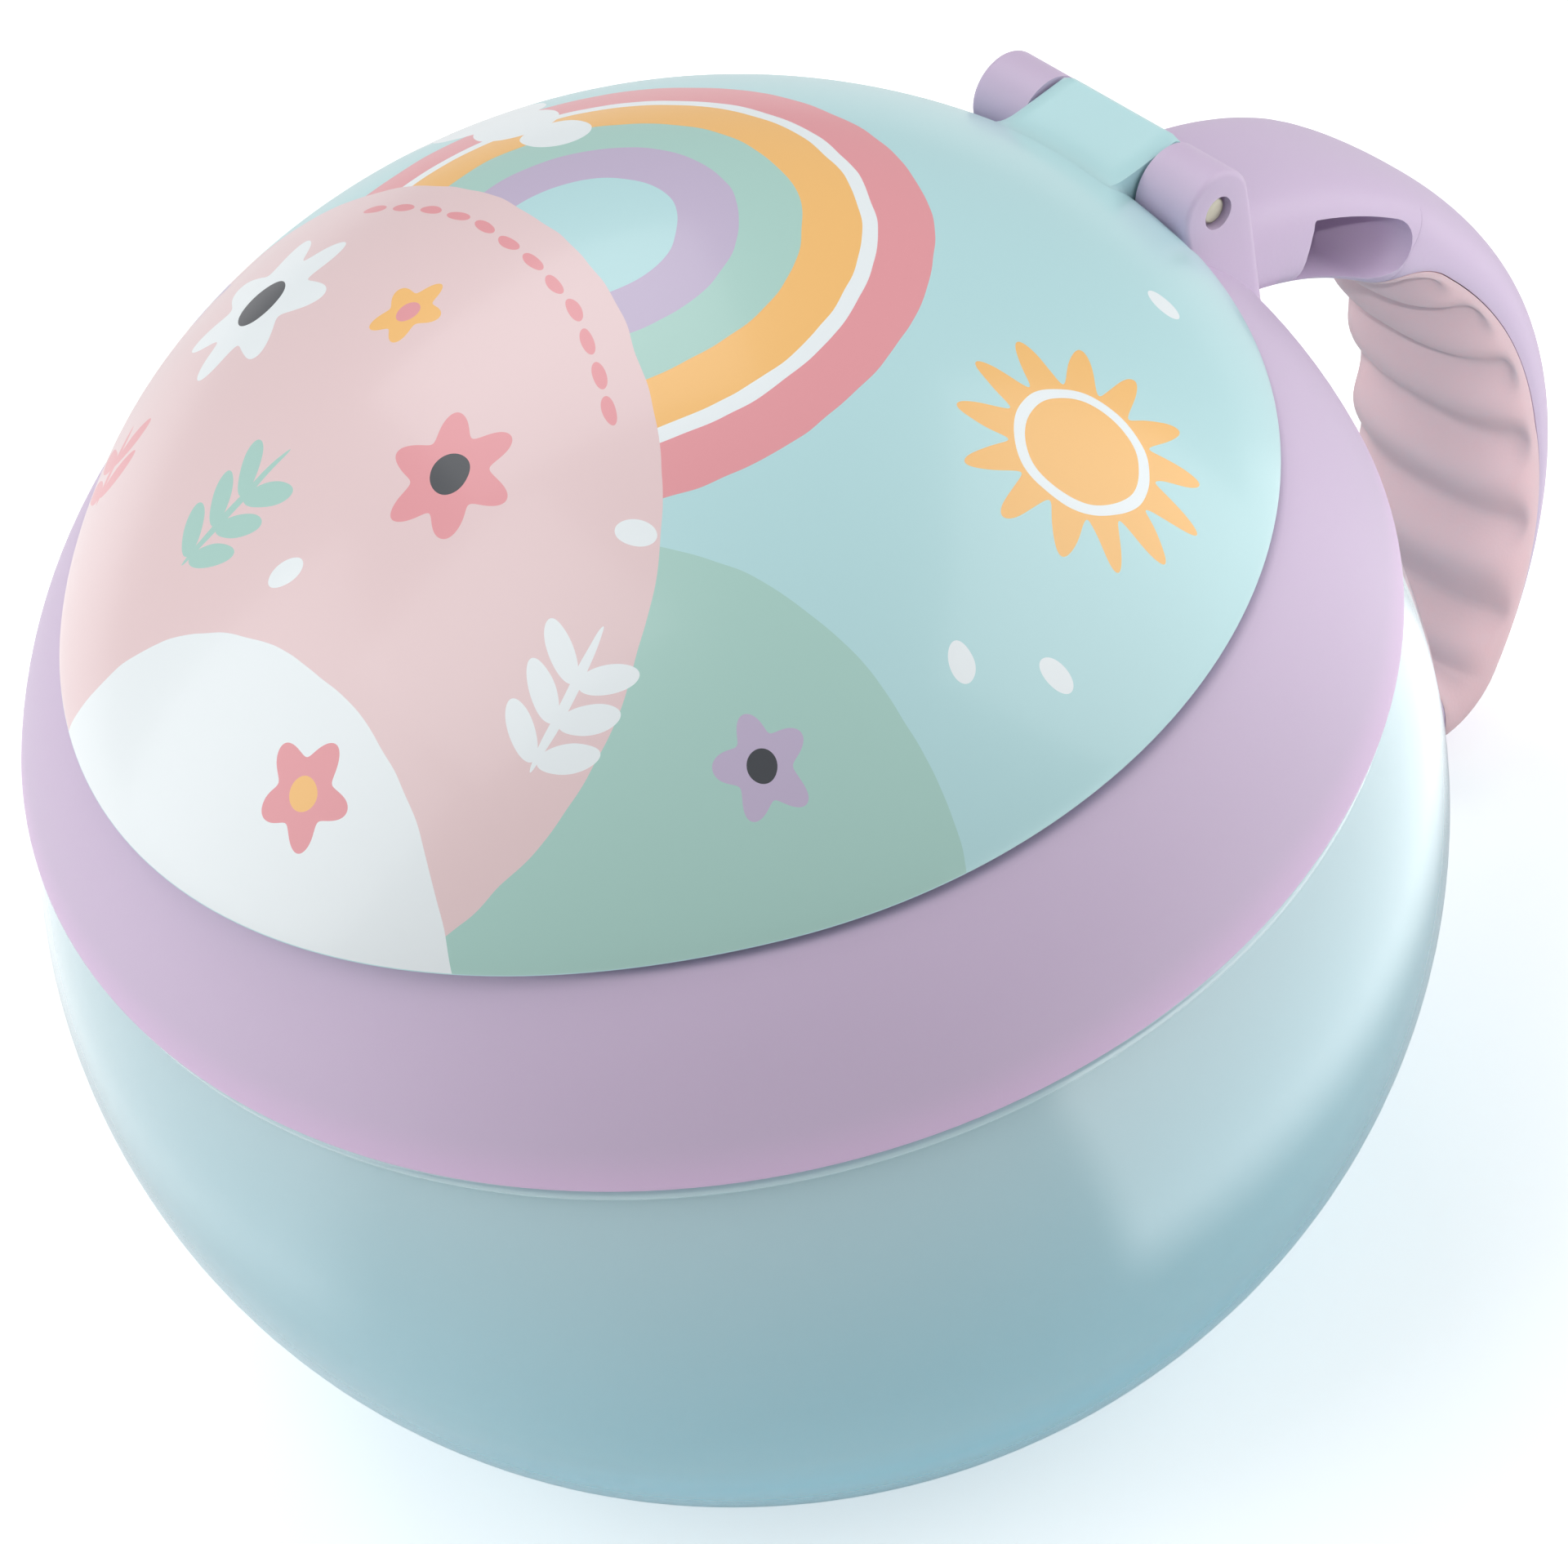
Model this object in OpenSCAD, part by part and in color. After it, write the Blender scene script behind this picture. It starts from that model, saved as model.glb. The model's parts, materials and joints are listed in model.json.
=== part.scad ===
// Toddler snack cup: a ball-shaped bowl, a screw-on collar with a loop handle,
// a domed flip lid on a pin, and a soft slit insert that a small hand reaches through.
// Origin: centre of the foot, on the table. +Z is up and +X points at the hinge and handle.

/* [Overall] */
// Radius of the lid's round edge
lid_r = 39; // [34:0.5:47]
// Height of the lid's lower edge above the table
lid_z = 68; // [56:1:82]

/* [Bowl] */
// How far the belly stands out past the collar
belly_out = 1.7; // [0.5:0.1:4]
// Distance from the lid's edge down to the widest point
belly_drop = 29.7; // [26:0.1:34]
// Wall thickness of the bowl
bowl_wall = 2.2; // [1.6:0.1:3]
// Radius of the flat foot
foot_r = 25; // [18:0.5:30]
// Height of the step round the foot
foot_h = 2.1; // [1:0.1:4]
// Radius at which the rounded underside would become flat
under_r = 14.1; // [8:0.1:18]
// Thickness of the floor
floor_t = 2.6; // [2:0.1:5]
// Height of the bead under the collar
bead_h = 1.2; // [0.8:0.1:2]

/* [Collar] */
// How far the collar's lower edge stands out past the lid
collar_out = 6.9; // [5.5:0.1:9]
// Height of the collar's outer face, from its lower edge to the lid's edge
collar_h = 13.2; // [12:0.1:16]
// How far the outer face bulges
collar_bulge = 0.8; // [0:0.1:1.5]
// Gap between the lid's edge and the deck of the collar
deck_gap = 0.8; // [0.5:0.1:1.5]
// Distance from the lid's edge in to the mouth
mouth_in = 6.6; // [6:0.1:9]
// Thickness of the mouth's raised lip
lip_t = 1.6; // [1.2:0.1:2]
// Height of the raised lip above the deck
lip_h = 3.8; // [2.5:0.1:4.2]
// Thickness of the deck
deck_t = 1.8; // [1.4:0.1:2.4]

/* [Thread] */
// Climb of the thread in one turn
thread_lead = 12; // [9:0.5:15]
// Number of thread starts
thread_starts = 3; // [2:1:3]
// Length of each thread rib round the neck, in degrees
thread_span = 80; // [50:5:90]
// Height of a rib at its root
thread_root_h = 1.5; // [1:0.1:1.8]
// How far a rib stands out
thread_depth = 1.2; // [0.8:0.1:1.3]
// Gap between neighbouring thread surfaces
thread_gap = 0.4; // [0.3:0.05:0.6]

/* [Lid] */
// Height of the dome above its edge band
dome_h = 19.2; // [15:0.1:23]
// Height of the upright band at the lid's edge
edge_h = 1.2; // [0.8:0.1:2]
// Wall thickness of the lid
lid_wall = 1.8; // [1.4:0.1:2.4]
// How far the thumb lip stands out past the lid's edge
thumb_out = 3; // [1:0.1:4.5]
// How far the thumb lip's round edge is shifted from the axis
thumb_shift = 7.5; // [5:0.5:10]
// Thickness of the inner skirt that goes round the lip
skirt_t = 1.2; // [1:0.1:1.8]
// Gap between the skirt and the lip
skirt_gap = 0.4; // [0.35:0.05:0.7]

/* [Hinge] */
// Radius of the hinge pin
pin_r = 1; // [0.8:0.1:1.2]
// Radius of the hinge barrel
barrel_r = 3; // [2.6:0.1:3.6]
// Distance from the lid's edge out to the hinge axis
hinge_out = 1; // [0.6:0.1:2]
// Height of the hinge axis above the lid's edge
hinge_up = 1.85; // [1.5:0.05:2.5]
// Width of the lid's block between the two knuckles
block_w = 10.5; // [8:0.5:14]
// Width of each knuckle
knuckle_w = 4.7; // [3.5:0.1:6]
// Gap between the block and each knuckle
knuckle_gap = 0.25; // [0.2:0.05:0.5]
// Width of the sunken ring round each end of the pin
recess_w = 0.2; // [0.1:0.05:0.5]
// Depth of the sunken ring
pin_recess = 0.4; // [0.3:0.1:1.2]

/* [Handle] */
// Thickness of the handle, measured across the arc
handle_t = 8.2; // [7:0.1:10.4]
// Width of the handle
handle_w = 16.4; // [13:0.2:20]
// How far the handle's top lies below the lid's edge
handle_low = 2.6; // [2.5:0.1:4.5]
// Centre of the arc, in from the lid's edge
handle_in = 3.6; // [2:0.1:6]
// Angle at which the arc ends and the rounded heel begins
heel_angle = -38; // [-42:1:-30]
// Radius of the hollow inside the heel
heel_hollow = 0.4; // [0.3:0.1:2]
// Height of the heel above the table
heel_up = 1; // [0.5:0.1:6]
// Wall outside the strap slot
slot_wall = 2.3; // [1.2:0.1:2.4]
// Height of the strap slot
slot_h = 4.8; // [4.5:0.1:5.2]
// Angle of the slot's end nearest the collar
slot_a1 = 62; // [60:1:64]
// Angle of the slot's far end
slot_a0 = 43; // [42:1:50]
// Depth of the outer shell beside the grip
grip_split = 3.4; // [3:0.1:4.5]
// Thickness of the soft grip
grip_t = 1.6; // [1.2:0.1:2]
// Upper end of the grip, as an angle on the arc
grip_a1 = 40; // [30:1:41]
// Lower end of the grip
grip_a0 = -36; // [-37:1:-20]

/* [Soft insert] */
// Number of flaps
flap_count = 6; // [6:1:6]
// Thickness of a flap
flap_t = 1.4; // [1:0.1:2]
// Width of the web left outside the corners of the flaps
web_edge = 0.35; // [0.3:0.05:3]
// Width of the slits between flaps
slit_w = 0.6; // [0.4:0.1:1]
// Wall thickness of the insert's neck
insert_wall = 1.7; // [1.4:0.1:2]
// Thickness of the flange that is trapped under the deck
flange_t = 1.3; // [1:0.1:1.8]
// Thickness of the ring that holds the flange
retainer_t = 1.2; // [1:0.1:1.6]
// Thickness of the seal on the bowl's rim
seal_t = 1.1; // [0.9:0.1:1.4]

/* [Fits] */
// Gap between soft pieces and their neighbours
soft_gap = 0.3; // [0.2:0.05:0.4]
// Gap between rigid pieces that are clipped together
clip_gap = 0.1; // [0.05:0.05:0.2]
// Running clearance of the pin in the lid
pin_clear = 0.05; // [0.02:0.01:0.09]

/* [Hidden] */
$fn = 96;
tiny = 0.01;
far = 200;

collar_r = lid_r + collar_out;
bowl_r = collar_r + belly_out;
belly_z = lid_z - belly_drop;
collar_z = lid_z - collar_h;
deck_z = lid_z - deck_gap;

// Neck of the bowl: the thread lives between the neck and the collar's inner wall.
neck_wall = 2.4;
neck_r = lid_r;
crest_r = neck_r + thread_depth;
collar_bore_r = crest_r + thread_gap;
shoulder_gap = 0.4;
shoulder_z = collar_z - shoulder_gap;
roof_t = 3.6;
roof_z = deck_z - roof_t;
rim_z = roof_z - 2 * soft_gap - seal_t;
thread_up = 3;
thread_z = shoulder_z + thread_up;
rib_sink = 0.3;
// Ribs taper to half their root height. This drop leaves the gap between their flanks.
rib_drop = 0.64 * thread_root_h + thread_gap;

// Small steps and rounded edges of the bowl and the collar.
foot_round = 0.6;
rim_round = 0.4;
groove_in = 1.1;
bead_in = 0.5;
bead_share = 0.4;
deck_edge_r = lid_r + 0.6;
deck_round = 0.6;
roof_cone = 1.6;
seal_room = 0.6;

// Pocket under the deck that takes the flange and its ring.
mouth_r = lid_r - mouth_in;
pocket_r = neck_r - neck_wall - soft_gap;
pocket_z = deck_z - deck_t;
lip_r = mouth_r + lip_t;
lip_z = deck_z + lip_h;

// Lid
skirt_r = lip_r + skirt_gap;
skirt_up = 0.3;
thumb_r = lid_r + thumb_out - thumb_shift;
thumb_low = 2.7;
thumb_h = dome_h - thumb_low;
dome_sphere = (lid_r * lid_r + dome_h * dome_h) / (2 * dome_h);
thumb_sphere = (thumb_r * thumb_r + thumb_h * thumb_h) / (2 * thumb_h);

// Hinge
hinge_x = lid_r + hinge_out;
hinge_z = lid_z + hinge_up;
knuckle_y = block_w / 2 + knuckle_gap;
hinge_half = knuckle_y + knuckle_w;
ridge_out = 1.8;
block_in = 6;
block_sweep_gap = 0.35;
sweep_r = norm([ridge_out, barrel_r]) + block_sweep_gap;
knuckle_foot = 4;
recess_r = pin_r + recess_w;
notch_gap = 0.4;
notch_w = knuckle_w + 3 * knuckle_gap;

// Handle: the arc is as large as fits between its top and the heel's height.
heel_r = handle_t + heel_hollow;
handle_top = lid_z - handle_low;
handle_r = (handle_top - heel_up - heel_r * (1 + sin(heel_angle))) / (1 - sin(heel_angle));
arc_c = [lid_r - handle_in, handle_top - handle_r];
heel_c = arc_c + (handle_r - heel_r) * [cos(heel_angle), sin(heel_angle)];
heel_end = -112;
heel_inset = 0.05;
heel_lap = 4;
root_angle = 84;
root_skirt = 3;
section_power = 2.4;

// Insert
insert_r = mouth_r - clip_gap;
insert_in = insert_r - insert_wall;
flange_r = pocket_r - clip_gap;
flange_z = pocket_z - flange_t - clip_gap / 2;
insert_low = 0.7;
insert_top = lip_z - insert_low;
insert_round = 0.5;
flap_z = insert_top - flap_t / 2;
// Distances from the axis to the web's straight edges and to the lines on which flaps bend.
web_reach = (insert_in - web_edge) * cos(180 / flap_count);
flap_reach = web_reach - flap_t / 2 - soft_gap;
root_short = 0.4;

aqua_clear = [0.57, 0.74, 0.78, 0.75];
aqua = [0.72, 0.86, 0.87];
lavender = [0.78, 0.72, 0.82];
pink = [0.88, 0.75, 0.78];
soft_white = [0.9, 0.93, 0.93];
steel = [0.67, 0.65, 0.6];

// Points from a to b on an arc that bulges to the left of the way from a to b.
function bulged(a, b, sag, n = 10) =
    let (
        d = b - a,
        side = [-d[1], d[0]] / norm(d)
    )
    [for (i = [0:n]) let (t = i / n) a + t * d + 4 * sag * t * (1 - t) * side];

// Outline of a rounded section: x from inner to outer, y across.
function section(outer, thick, width, n = 36) =
    [for (i = [0:n - 1])
        let (t = 360 * i / n, c = cos(t), s = sin(t), p = 2 / section_power)
        [outer - thick / 2 + thick / 2 * sign(c) * pow(abs(c), p),
         width / 2 * sign(s) * pow(abs(s), p)]];

// ---- Bowl -------------------------------------------------------------

function belly_low(r, base_r, half_h, a0, a1, n = 22) =
    [for (i = [0:n]) let (t = a0 + (a1 - a0) * i / n)
        [base_r + (r - base_r) * cos(t), belly_z - half_h * sin(t)]];

function belly_high(r, top_r, top_z, n = 10) =
    let (reach = acos(top_r / r))
    [for (i = [1:n]) let (t = reach * i / n)
        [r * cos(t), belly_z + (top_z - belly_z) * sin(t) / sin(reach)]];

// The angle at which the rounded underside reaches the foot's radius.
foot_angle = acos((foot_r - under_r) / (bowl_r - under_r));
foot_scale = (belly_z - foot_h) / sin(foot_angle);

module bowl_outside() {
    low = belly_low(bowl_r, under_r, foot_scale, foot_angle, 0);
    groove_r = collar_r - groove_in;
    bead_r = collar_r - bead_in;
    bead_z = shoulder_z - bead_h / 2;
    bead_flat = bead_share * bead_h / 2;
    high = belly_high(bowl_r, groove_r, shoulder_z - bead_h);
    rotate_extrude()
        polygon(concat(
            [[0, 0], [foot_r - foot_round, 0], [foot_r, foot_round]],
            low, high,
            [[bead_r, bead_z - bead_flat], [bead_r, bead_z + bead_flat],
             [groove_r, shoulder_z], [neck_r, shoulder_z], [neck_r, rim_z - rim_round],
             [neck_r - rim_round, rim_z], [0, rim_z]]));
}

module bowl_inside() {
    in_r = bowl_r - bowl_wall;
    neck_in = neck_r - neck_wall;
    half_h = belly_z - floor_t;
    top_z = shoulder_z - bowl_wall;
    low = belly_low(in_r, under_r, half_h, 90, 0);
    high = belly_high(in_r, collar_r - groove_in - bowl_wall, top_z);
    rotate_extrude()
        polygon(concat(
            [[0, floor_t]], low, high,
            [[neck_in, top_z], [neck_in, rim_z + 1], [0, rim_z + 1]]));
}

// A tapered rib that climbs round the axis, from its root radius to its crest radius.
module thread_rib(root_r, tip_r, z0, start, span) {
    steps = 14;
    root_half = thread_root_h / 2;
    tip_half = root_half * 0.5;
    pts = [for (i = [0:steps])
        let (
            a = start + span * i / steps,
            z = z0 + thread_lead * span * i / steps / 360,
            grow = min(1, 0.1 + i / 2, 0.1 + (steps - i) / 2),
            tip = root_r + (tip_r - root_r) * grow
        )
        each [
            [root_r * cos(a), root_r * sin(a), z - root_half],
            [tip * cos(a), tip * sin(a), z - tip_half],
            [tip * cos(a), tip * sin(a), z + tip_half],
            [root_r * cos(a), root_r * sin(a), z + root_half]
        ]];
    flip = tip_r < root_r;
    sides = [for (i = [0:steps - 1], j = [0:3])
        let (p = 4 * i + j, q = 4 * i + (j + 1) % 4)
        each [[p, q, q + 4], [p, q + 4, p + 4]]];
    last = 4 * steps;
    ends = [[0, 2, 1], [0, 3, 2], [last, last + 1, last + 2], [last, last + 2, last + 3]];
    all_faces = concat(sides, ends);
    polyhedron(pts, flip ? [for (f = all_faces) [f[2], f[1], f[0]]] : all_faces);
}

// All the ribs of one thread. Both threads share the helix, and the collar's hang below it.
module thread_ribs(root_r, tip_r, drop) {
    for (k = [0:thread_starts - 1])
        thread_rib(root_r, tip_r, thread_z - drop, 360 * k / thread_starts, thread_span);
}

module bowl() {
    color(aqua_clear)
    difference() {
        union() {
            bowl_outside();
            thread_ribs(neck_r - rib_sink, crest_r, 0);
        }
        bowl_inside();
    }
}

// ---- Seal on the bowl's rim -------------------------------------------

module rim_seal() {
    color(soft_white)
    translate([0, 0, rim_z + soft_gap])
    difference() {
        cylinder(r = neck_r, h = seal_t);
        translate([0, 0, -1]) cylinder(r = neck_r - neck_wall + soft_gap, h = seal_t + 2);
    }
}

// ---- Collar -----------------------------------------------------------

collar_face = bulged([collar_r, collar_z], [deck_edge_r, deck_z - deck_round], -collar_bulge);

// Everything inside the collar's outer face, down to the given distance below it.
module collar_outside(skirt) {
    low = [collar_r, collar_z - skirt];
    rotate_extrude()
        polygon(concat(
            [[0, low[1]]], skirt > 0 ? [low] : [], collar_face,
            [[deck_edge_r - deck_round, deck_z], [0, deck_z]]));
}

// The space under the deck: thread bore, rim groove and flange pocket.
module collar_cavity() {
    rotate_extrude()
        polygon([
            [0, collar_z - 5], [collar_bore_r, collar_z - 5], [collar_bore_r, roof_z - roof_cone],
            [neck_r + seal_room, roof_z], [pocket_r, roof_z], [pocket_r, pocket_z],
            [0, pocket_z]]);
}

module knuckle(side) {
    low_z = collar_z + knuckle_foot;
    y0 = side > 0 ? knuckle_y : -hinge_half;
    translate([hinge_x, y0, hinge_z]) rotate([-90, 0, 0]) cylinder(r = barrel_r, h = knuckle_w);
    translate([hinge_x - barrel_r, y0, low_z])
        cube([2 * barrel_r, knuckle_w, hinge_z - low_z]);
}

module hinge_cylinder(r, half) {
    translate([hinge_x, -half, hinge_z]) rotate([-90, 0, 0]) cylinder(r = r, h = 2 * half);
}

module collar() {
    color(lavender)
    union() {
        difference() {
            union() {
                collar_outside(0);
                translate([0, 0, deck_z - tiny]) cylinder(r = lip_r, h = lip_h + tiny);
                knuckle(1);
                knuckle(-1);
            }
            collar_cavity();
            translate([0, 0, pocket_z - 1]) cylinder(r = mouth_r, h = far);
            intersection() {
                hinge_cylinder(sweep_r, knuckle_y);
                translate([0, -knuckle_y, 0]) cube([far, 2 * knuckle_y, far]);
            }
            hinge_cylinder(pin_r, hinge_half + 1);
            for (side = [-1, 1])
                translate([hinge_x, side * (hinge_half - pin_recess / 2), hinge_z])
                    rotate([90, 0, 0])
                        cylinder(r = recess_r, h = pin_recess + tiny, center = true);
        }
        thread_ribs(collar_bore_r + rib_sink, collar_bore_r - thread_depth, rib_drop);
    }
}

// ---- Handle and grip --------------------------------------------------

module sweep_arc(centre, a0, a1) {
    translate([centre[0], 0, centre[1]])
        rotate([90, 0, 0])
            rotate([0, 0, a0])
                rotate_extrude(angle = a1 - a0)
                    children();
}

// The part of a section that lies deeper than the outer shell.
module deep_part() {
    depth = 2 * handle_t;
    translate([handle_r - grip_split - depth, -handle_w]) square([depth, 2 * handle_w]);
}

module full_section() {
    polygon(section(handle_r, handle_t, handle_w));
}

// The rigid spine that runs inside the grip.
module grip_core() {
    polygon(section(handle_r, handle_t - grip_t, handle_w - 2 * grip_t));
}

// The heel is a hair thinner than the arc, so that its end lies inside the arc's end.
module heel() {
    sweep_arc(heel_c, heel_end, heel_angle + heel_lap)
        polygon(section(heel_r - heel_inset, handle_t - 2 * heel_inset, handle_w - 2 * heel_inset));
}

module handle() {
    color(lavender)
    difference() {
        union() {
            sweep_arc(arc_c, heel_angle, root_angle) full_section();
            heel();
        }
        sweep_arc(arc_c, grip_a0, grip_a1)
            difference() {
                deep_part();
                grip_core();
            }
        strap_slot();
        // The quarter turn keeps the revolved surface's seam away from the handle.
        rotate([0, 0, 90]) collar_outside(root_skirt);
        knuckle(1);
        knuckle(-1);
    }
}

module strap_slot() {
    outer = handle_r - slot_wall;
    mid = outer - slot_h / 2;
    round_a = slot_a0 + asin(slot_h / 2 / mid);
    sweep_arc(arc_c, round_a, slot_a1)
        translate([outer - slot_h, -handle_w]) square([slot_h, 2 * handle_w]);
    translate([arc_c[0] + mid * cos(round_a), 0, arc_c[1] + mid * sin(round_a)])
        rotate([90, 0, 0]) cylinder(r = slot_h / 2, h = 2 * handle_w, center = true);
}

module handle_grip() {
    color(pink)
        sweep_arc(arc_c, grip_a0, grip_a1)
            difference() {
                intersection() {
                    full_section();
                    deep_part();
                }
                grip_core();
            }
}

// ---- Hinge pin --------------------------------------------------------

module hinge_pin() {
    color(steel)
        hinge_cylinder(pin_r, hinge_half - pin_recess);
}

// ---- Lid --------------------------------------------------------------

// A round cap: a band of radius r under a piece of a sphere, made smaller by inset.
module cap(x, r, h, ball, inset, low, n = 18) {
    centre_z = edge_h + h - ball;
    reach = asin((r - inset) / (ball - inset));
    dome = [for (i = [0:n]) let (t = reach * (1 - i / n))
        [(ball - inset) * sin(t), centre_z + (ball - inset) * cos(t)]];
    translate([x, 0, lid_z])
        rotate_extrude()
            polygon(concat([[0, low], [r - inset, low]], dome));
}

module lid_caps(inset, low) {
    cap(0, lid_r, dome_h, dome_sphere, inset, low);
    cap(-thumb_shift, thumb_r, thumb_h, thumb_sphere, inset, low);
}

module lid_block() {
    top_z = hinge_z + barrel_r;
    hinge_cylinder(barrel_r, block_w / 2);
    translate([lid_r - block_in, -block_w / 2, lid_z + edge_h])
        cube([block_in + hinge_out + ridge_out, block_w, top_z - lid_z - edge_h]);
}

module lid_skirt() {
    low_z = lid_z + skirt_up;
    intersection() {
        translate([0, 0, low_z])
            difference() {
                cylinder(r = skirt_r + skirt_t, h = dome_h);
                translate([0, 0, -1]) cylinder(r = skirt_r, h = dome_h + 2);
            }
        lid_caps(lid_wall / 2, -1);
    }
}

module lid() {
    color(aqua)
    difference() {
        union() {
            difference() {
                union() {
                    lid_caps(0, 0);
                    lid_block();
                }
                lid_caps(lid_wall, -1);
            }
            lid_skirt();
        }
        for (side = [-1, 1])
            translate([hinge_x - barrel_r - notch_gap,
                       side > 0 ? block_w / 2 : -block_w / 2 - notch_w,
                       lid_z - 1])
                cube([far, notch_w, dome_h]);
        hinge_cylinder(pin_r + pin_clear, hinge_half);
    }
}

// ---- Soft insert ------------------------------------------------------

module flap_ring() {
    color(soft_white)
    difference() {
        rotate_extrude()
            polygon([
                [0, flange_z], [flange_r, flange_z], [flange_r, flange_z + flange_t],
                [insert_r, flange_z + flange_t], [insert_r, insert_top - insert_round],
                [insert_r - insert_round, insert_top], [0, insert_top]]);
        translate([0, 0, flange_z - 1])
            cylinder(r = insert_in, h = insert_top - flap_t - flange_z + 1);
        rotate([0, 0, 180 / flap_count])
            translate([0, 0, flange_z])
                linear_extrude(height = far)
                    polygon([for (k = [0:flap_count - 1])
                        let (a = 360 * k / flap_count, r = insert_in - web_edge)
                        [r * cos(a), r * sin(a)]]);
    }
}

module flap(k) {
    half_root = flap_reach * tan(180 / flap_count) - slit_w / 2 / cos(180 / flap_count);
    tip = slit_w / 2 / sin(180 / flap_count);
    color(soft_white)
    rotate([0, 0, 360 * k / flap_count]) {
        translate([0, 0, flap_z - flap_t / 2])
            linear_extrude(height = flap_t)
                polygon([[flap_reach, -half_root], [flap_reach, half_root], [tip, 0]]);
        translate([flap_reach, 0, flap_z])
            rotate([90, 0, 0])
                cylinder(r = flap_t / 2, h = 2 * (half_root - root_short), center = true);
    }
}

module flap_retainer() {
    color(lavender)
    translate([0, 0, flange_z - clip_gap - retainer_t])
    difference() {
        cylinder(r = flange_r, h = retainer_t);
        translate([0, 0, -1]) cylinder(r = insert_in, h = retainer_t + 2);
    }
}

bowl();
rim_seal();
collar();
handle();
handle_grip();
hinge_pin();
lid();
flap_ring();
flap_retainer();
flap(0);  // flap_1
flap(1);  // flap_2
flap(2);  // flap_3
flap(3);  // flap_4
flap(4);  // flap_5
flap(5);  // flap_6
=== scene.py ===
"""Looks of a toddler snack cup: a ball-shaped bowl, a collar with a loop handle, and a printed flip lid.

All lengths are in metres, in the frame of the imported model. The origin is the centre of the foot, +Z is up
and +X points at the hinge and the handle.
"""
import json
from math import acos, atan, atan2, copysign, cos, degrees, exp, hypot, log, pi, radians, sin, sqrt

import bmesh
import bpy
from bpy.props import FloatProperty, PointerProperty, StringProperty
from bpy.types import Operator, Panel, PropertyGroup
from mathutils import Matrix, Vector


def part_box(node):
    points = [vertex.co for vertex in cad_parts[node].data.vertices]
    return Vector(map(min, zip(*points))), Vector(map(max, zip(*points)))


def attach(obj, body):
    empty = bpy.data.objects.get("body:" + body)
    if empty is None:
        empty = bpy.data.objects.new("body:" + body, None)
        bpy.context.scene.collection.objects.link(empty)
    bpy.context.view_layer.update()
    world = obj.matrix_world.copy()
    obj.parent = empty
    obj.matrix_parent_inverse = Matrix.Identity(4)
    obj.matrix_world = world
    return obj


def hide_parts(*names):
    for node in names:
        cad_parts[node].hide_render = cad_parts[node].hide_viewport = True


bl_info = {
    "name": "Toddler snack cup",
    "version": (1, 0, 0),
    "blender": (4, 5, 0),
    "location": "View3D > Sidebar > Snack cup",
    "description": "Models a ball-shaped snack cup with a flip lid and a loop handle",
    "category": "Add Mesh",
}

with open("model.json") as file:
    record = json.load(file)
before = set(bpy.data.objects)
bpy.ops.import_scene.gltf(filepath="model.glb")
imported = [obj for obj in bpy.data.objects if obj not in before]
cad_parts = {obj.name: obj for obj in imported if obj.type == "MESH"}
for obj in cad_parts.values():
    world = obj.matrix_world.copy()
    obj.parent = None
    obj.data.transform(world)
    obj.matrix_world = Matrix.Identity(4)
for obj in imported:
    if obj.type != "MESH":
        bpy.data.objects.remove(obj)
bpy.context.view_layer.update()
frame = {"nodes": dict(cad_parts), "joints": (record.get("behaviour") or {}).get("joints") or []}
MM = 0.001
TAU = 2 * pi

# ---- Sizes taken from the frame --------------------------

BOWL_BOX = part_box("bowl")
COLLAR_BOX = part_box("collar")
LID_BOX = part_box("lid")
HANDLE_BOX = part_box("handle")
PIN_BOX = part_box("hinge_pin")
SEAL_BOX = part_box("rim_seal")
HINGE = Vector(next(j["pos_m"] for j in frame["joints"] if j["name"] == "lid_hinge"))

BOWL_R = BOWL_BOX[1].y
RIM_Z = BOWL_BOX[1].z
NECK_R = SEAL_BOX[1].x
COLLAR_R = COLLAR_BOX[1].y
COLLAR_Z = COLLAR_BOX[0].z
LID_R = LID_BOX[1].y
THUMB_OUT = -LID_BOX[0].x - LID_R
LID_TOP = LID_BOX[1].z
BARREL_R = COLLAR_BOX[1].z - HINGE.z
PIN_R = (PIN_BOX[1].x - PIN_BOX[0].x) / 2

# ---- Sizes read from the photograph, within that frame ---

LID_Z = 68 * MM  # the lid's edge
BELLY_Z = LID_Z - 29.7 * MM  # the bowl's widest place
UNDER_R = 14.1 * MM  # the bowl's underside is a quarter ellipse that starts this far from the axis
SHOULDER_Z = COLLAR_Z - 0.4 * MM  # the bowl's shoulder, just under the collar
DOME_H = LID_TOP - LID_Z
DOME_POWER = 2.077  # the dome's outline is (1 - r ** power) ** root
DOME_ROOT = 0.814
THUMB_HALF_ANGLE = radians(58)  # the thumb lip reaches this far round the edge to each side


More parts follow.
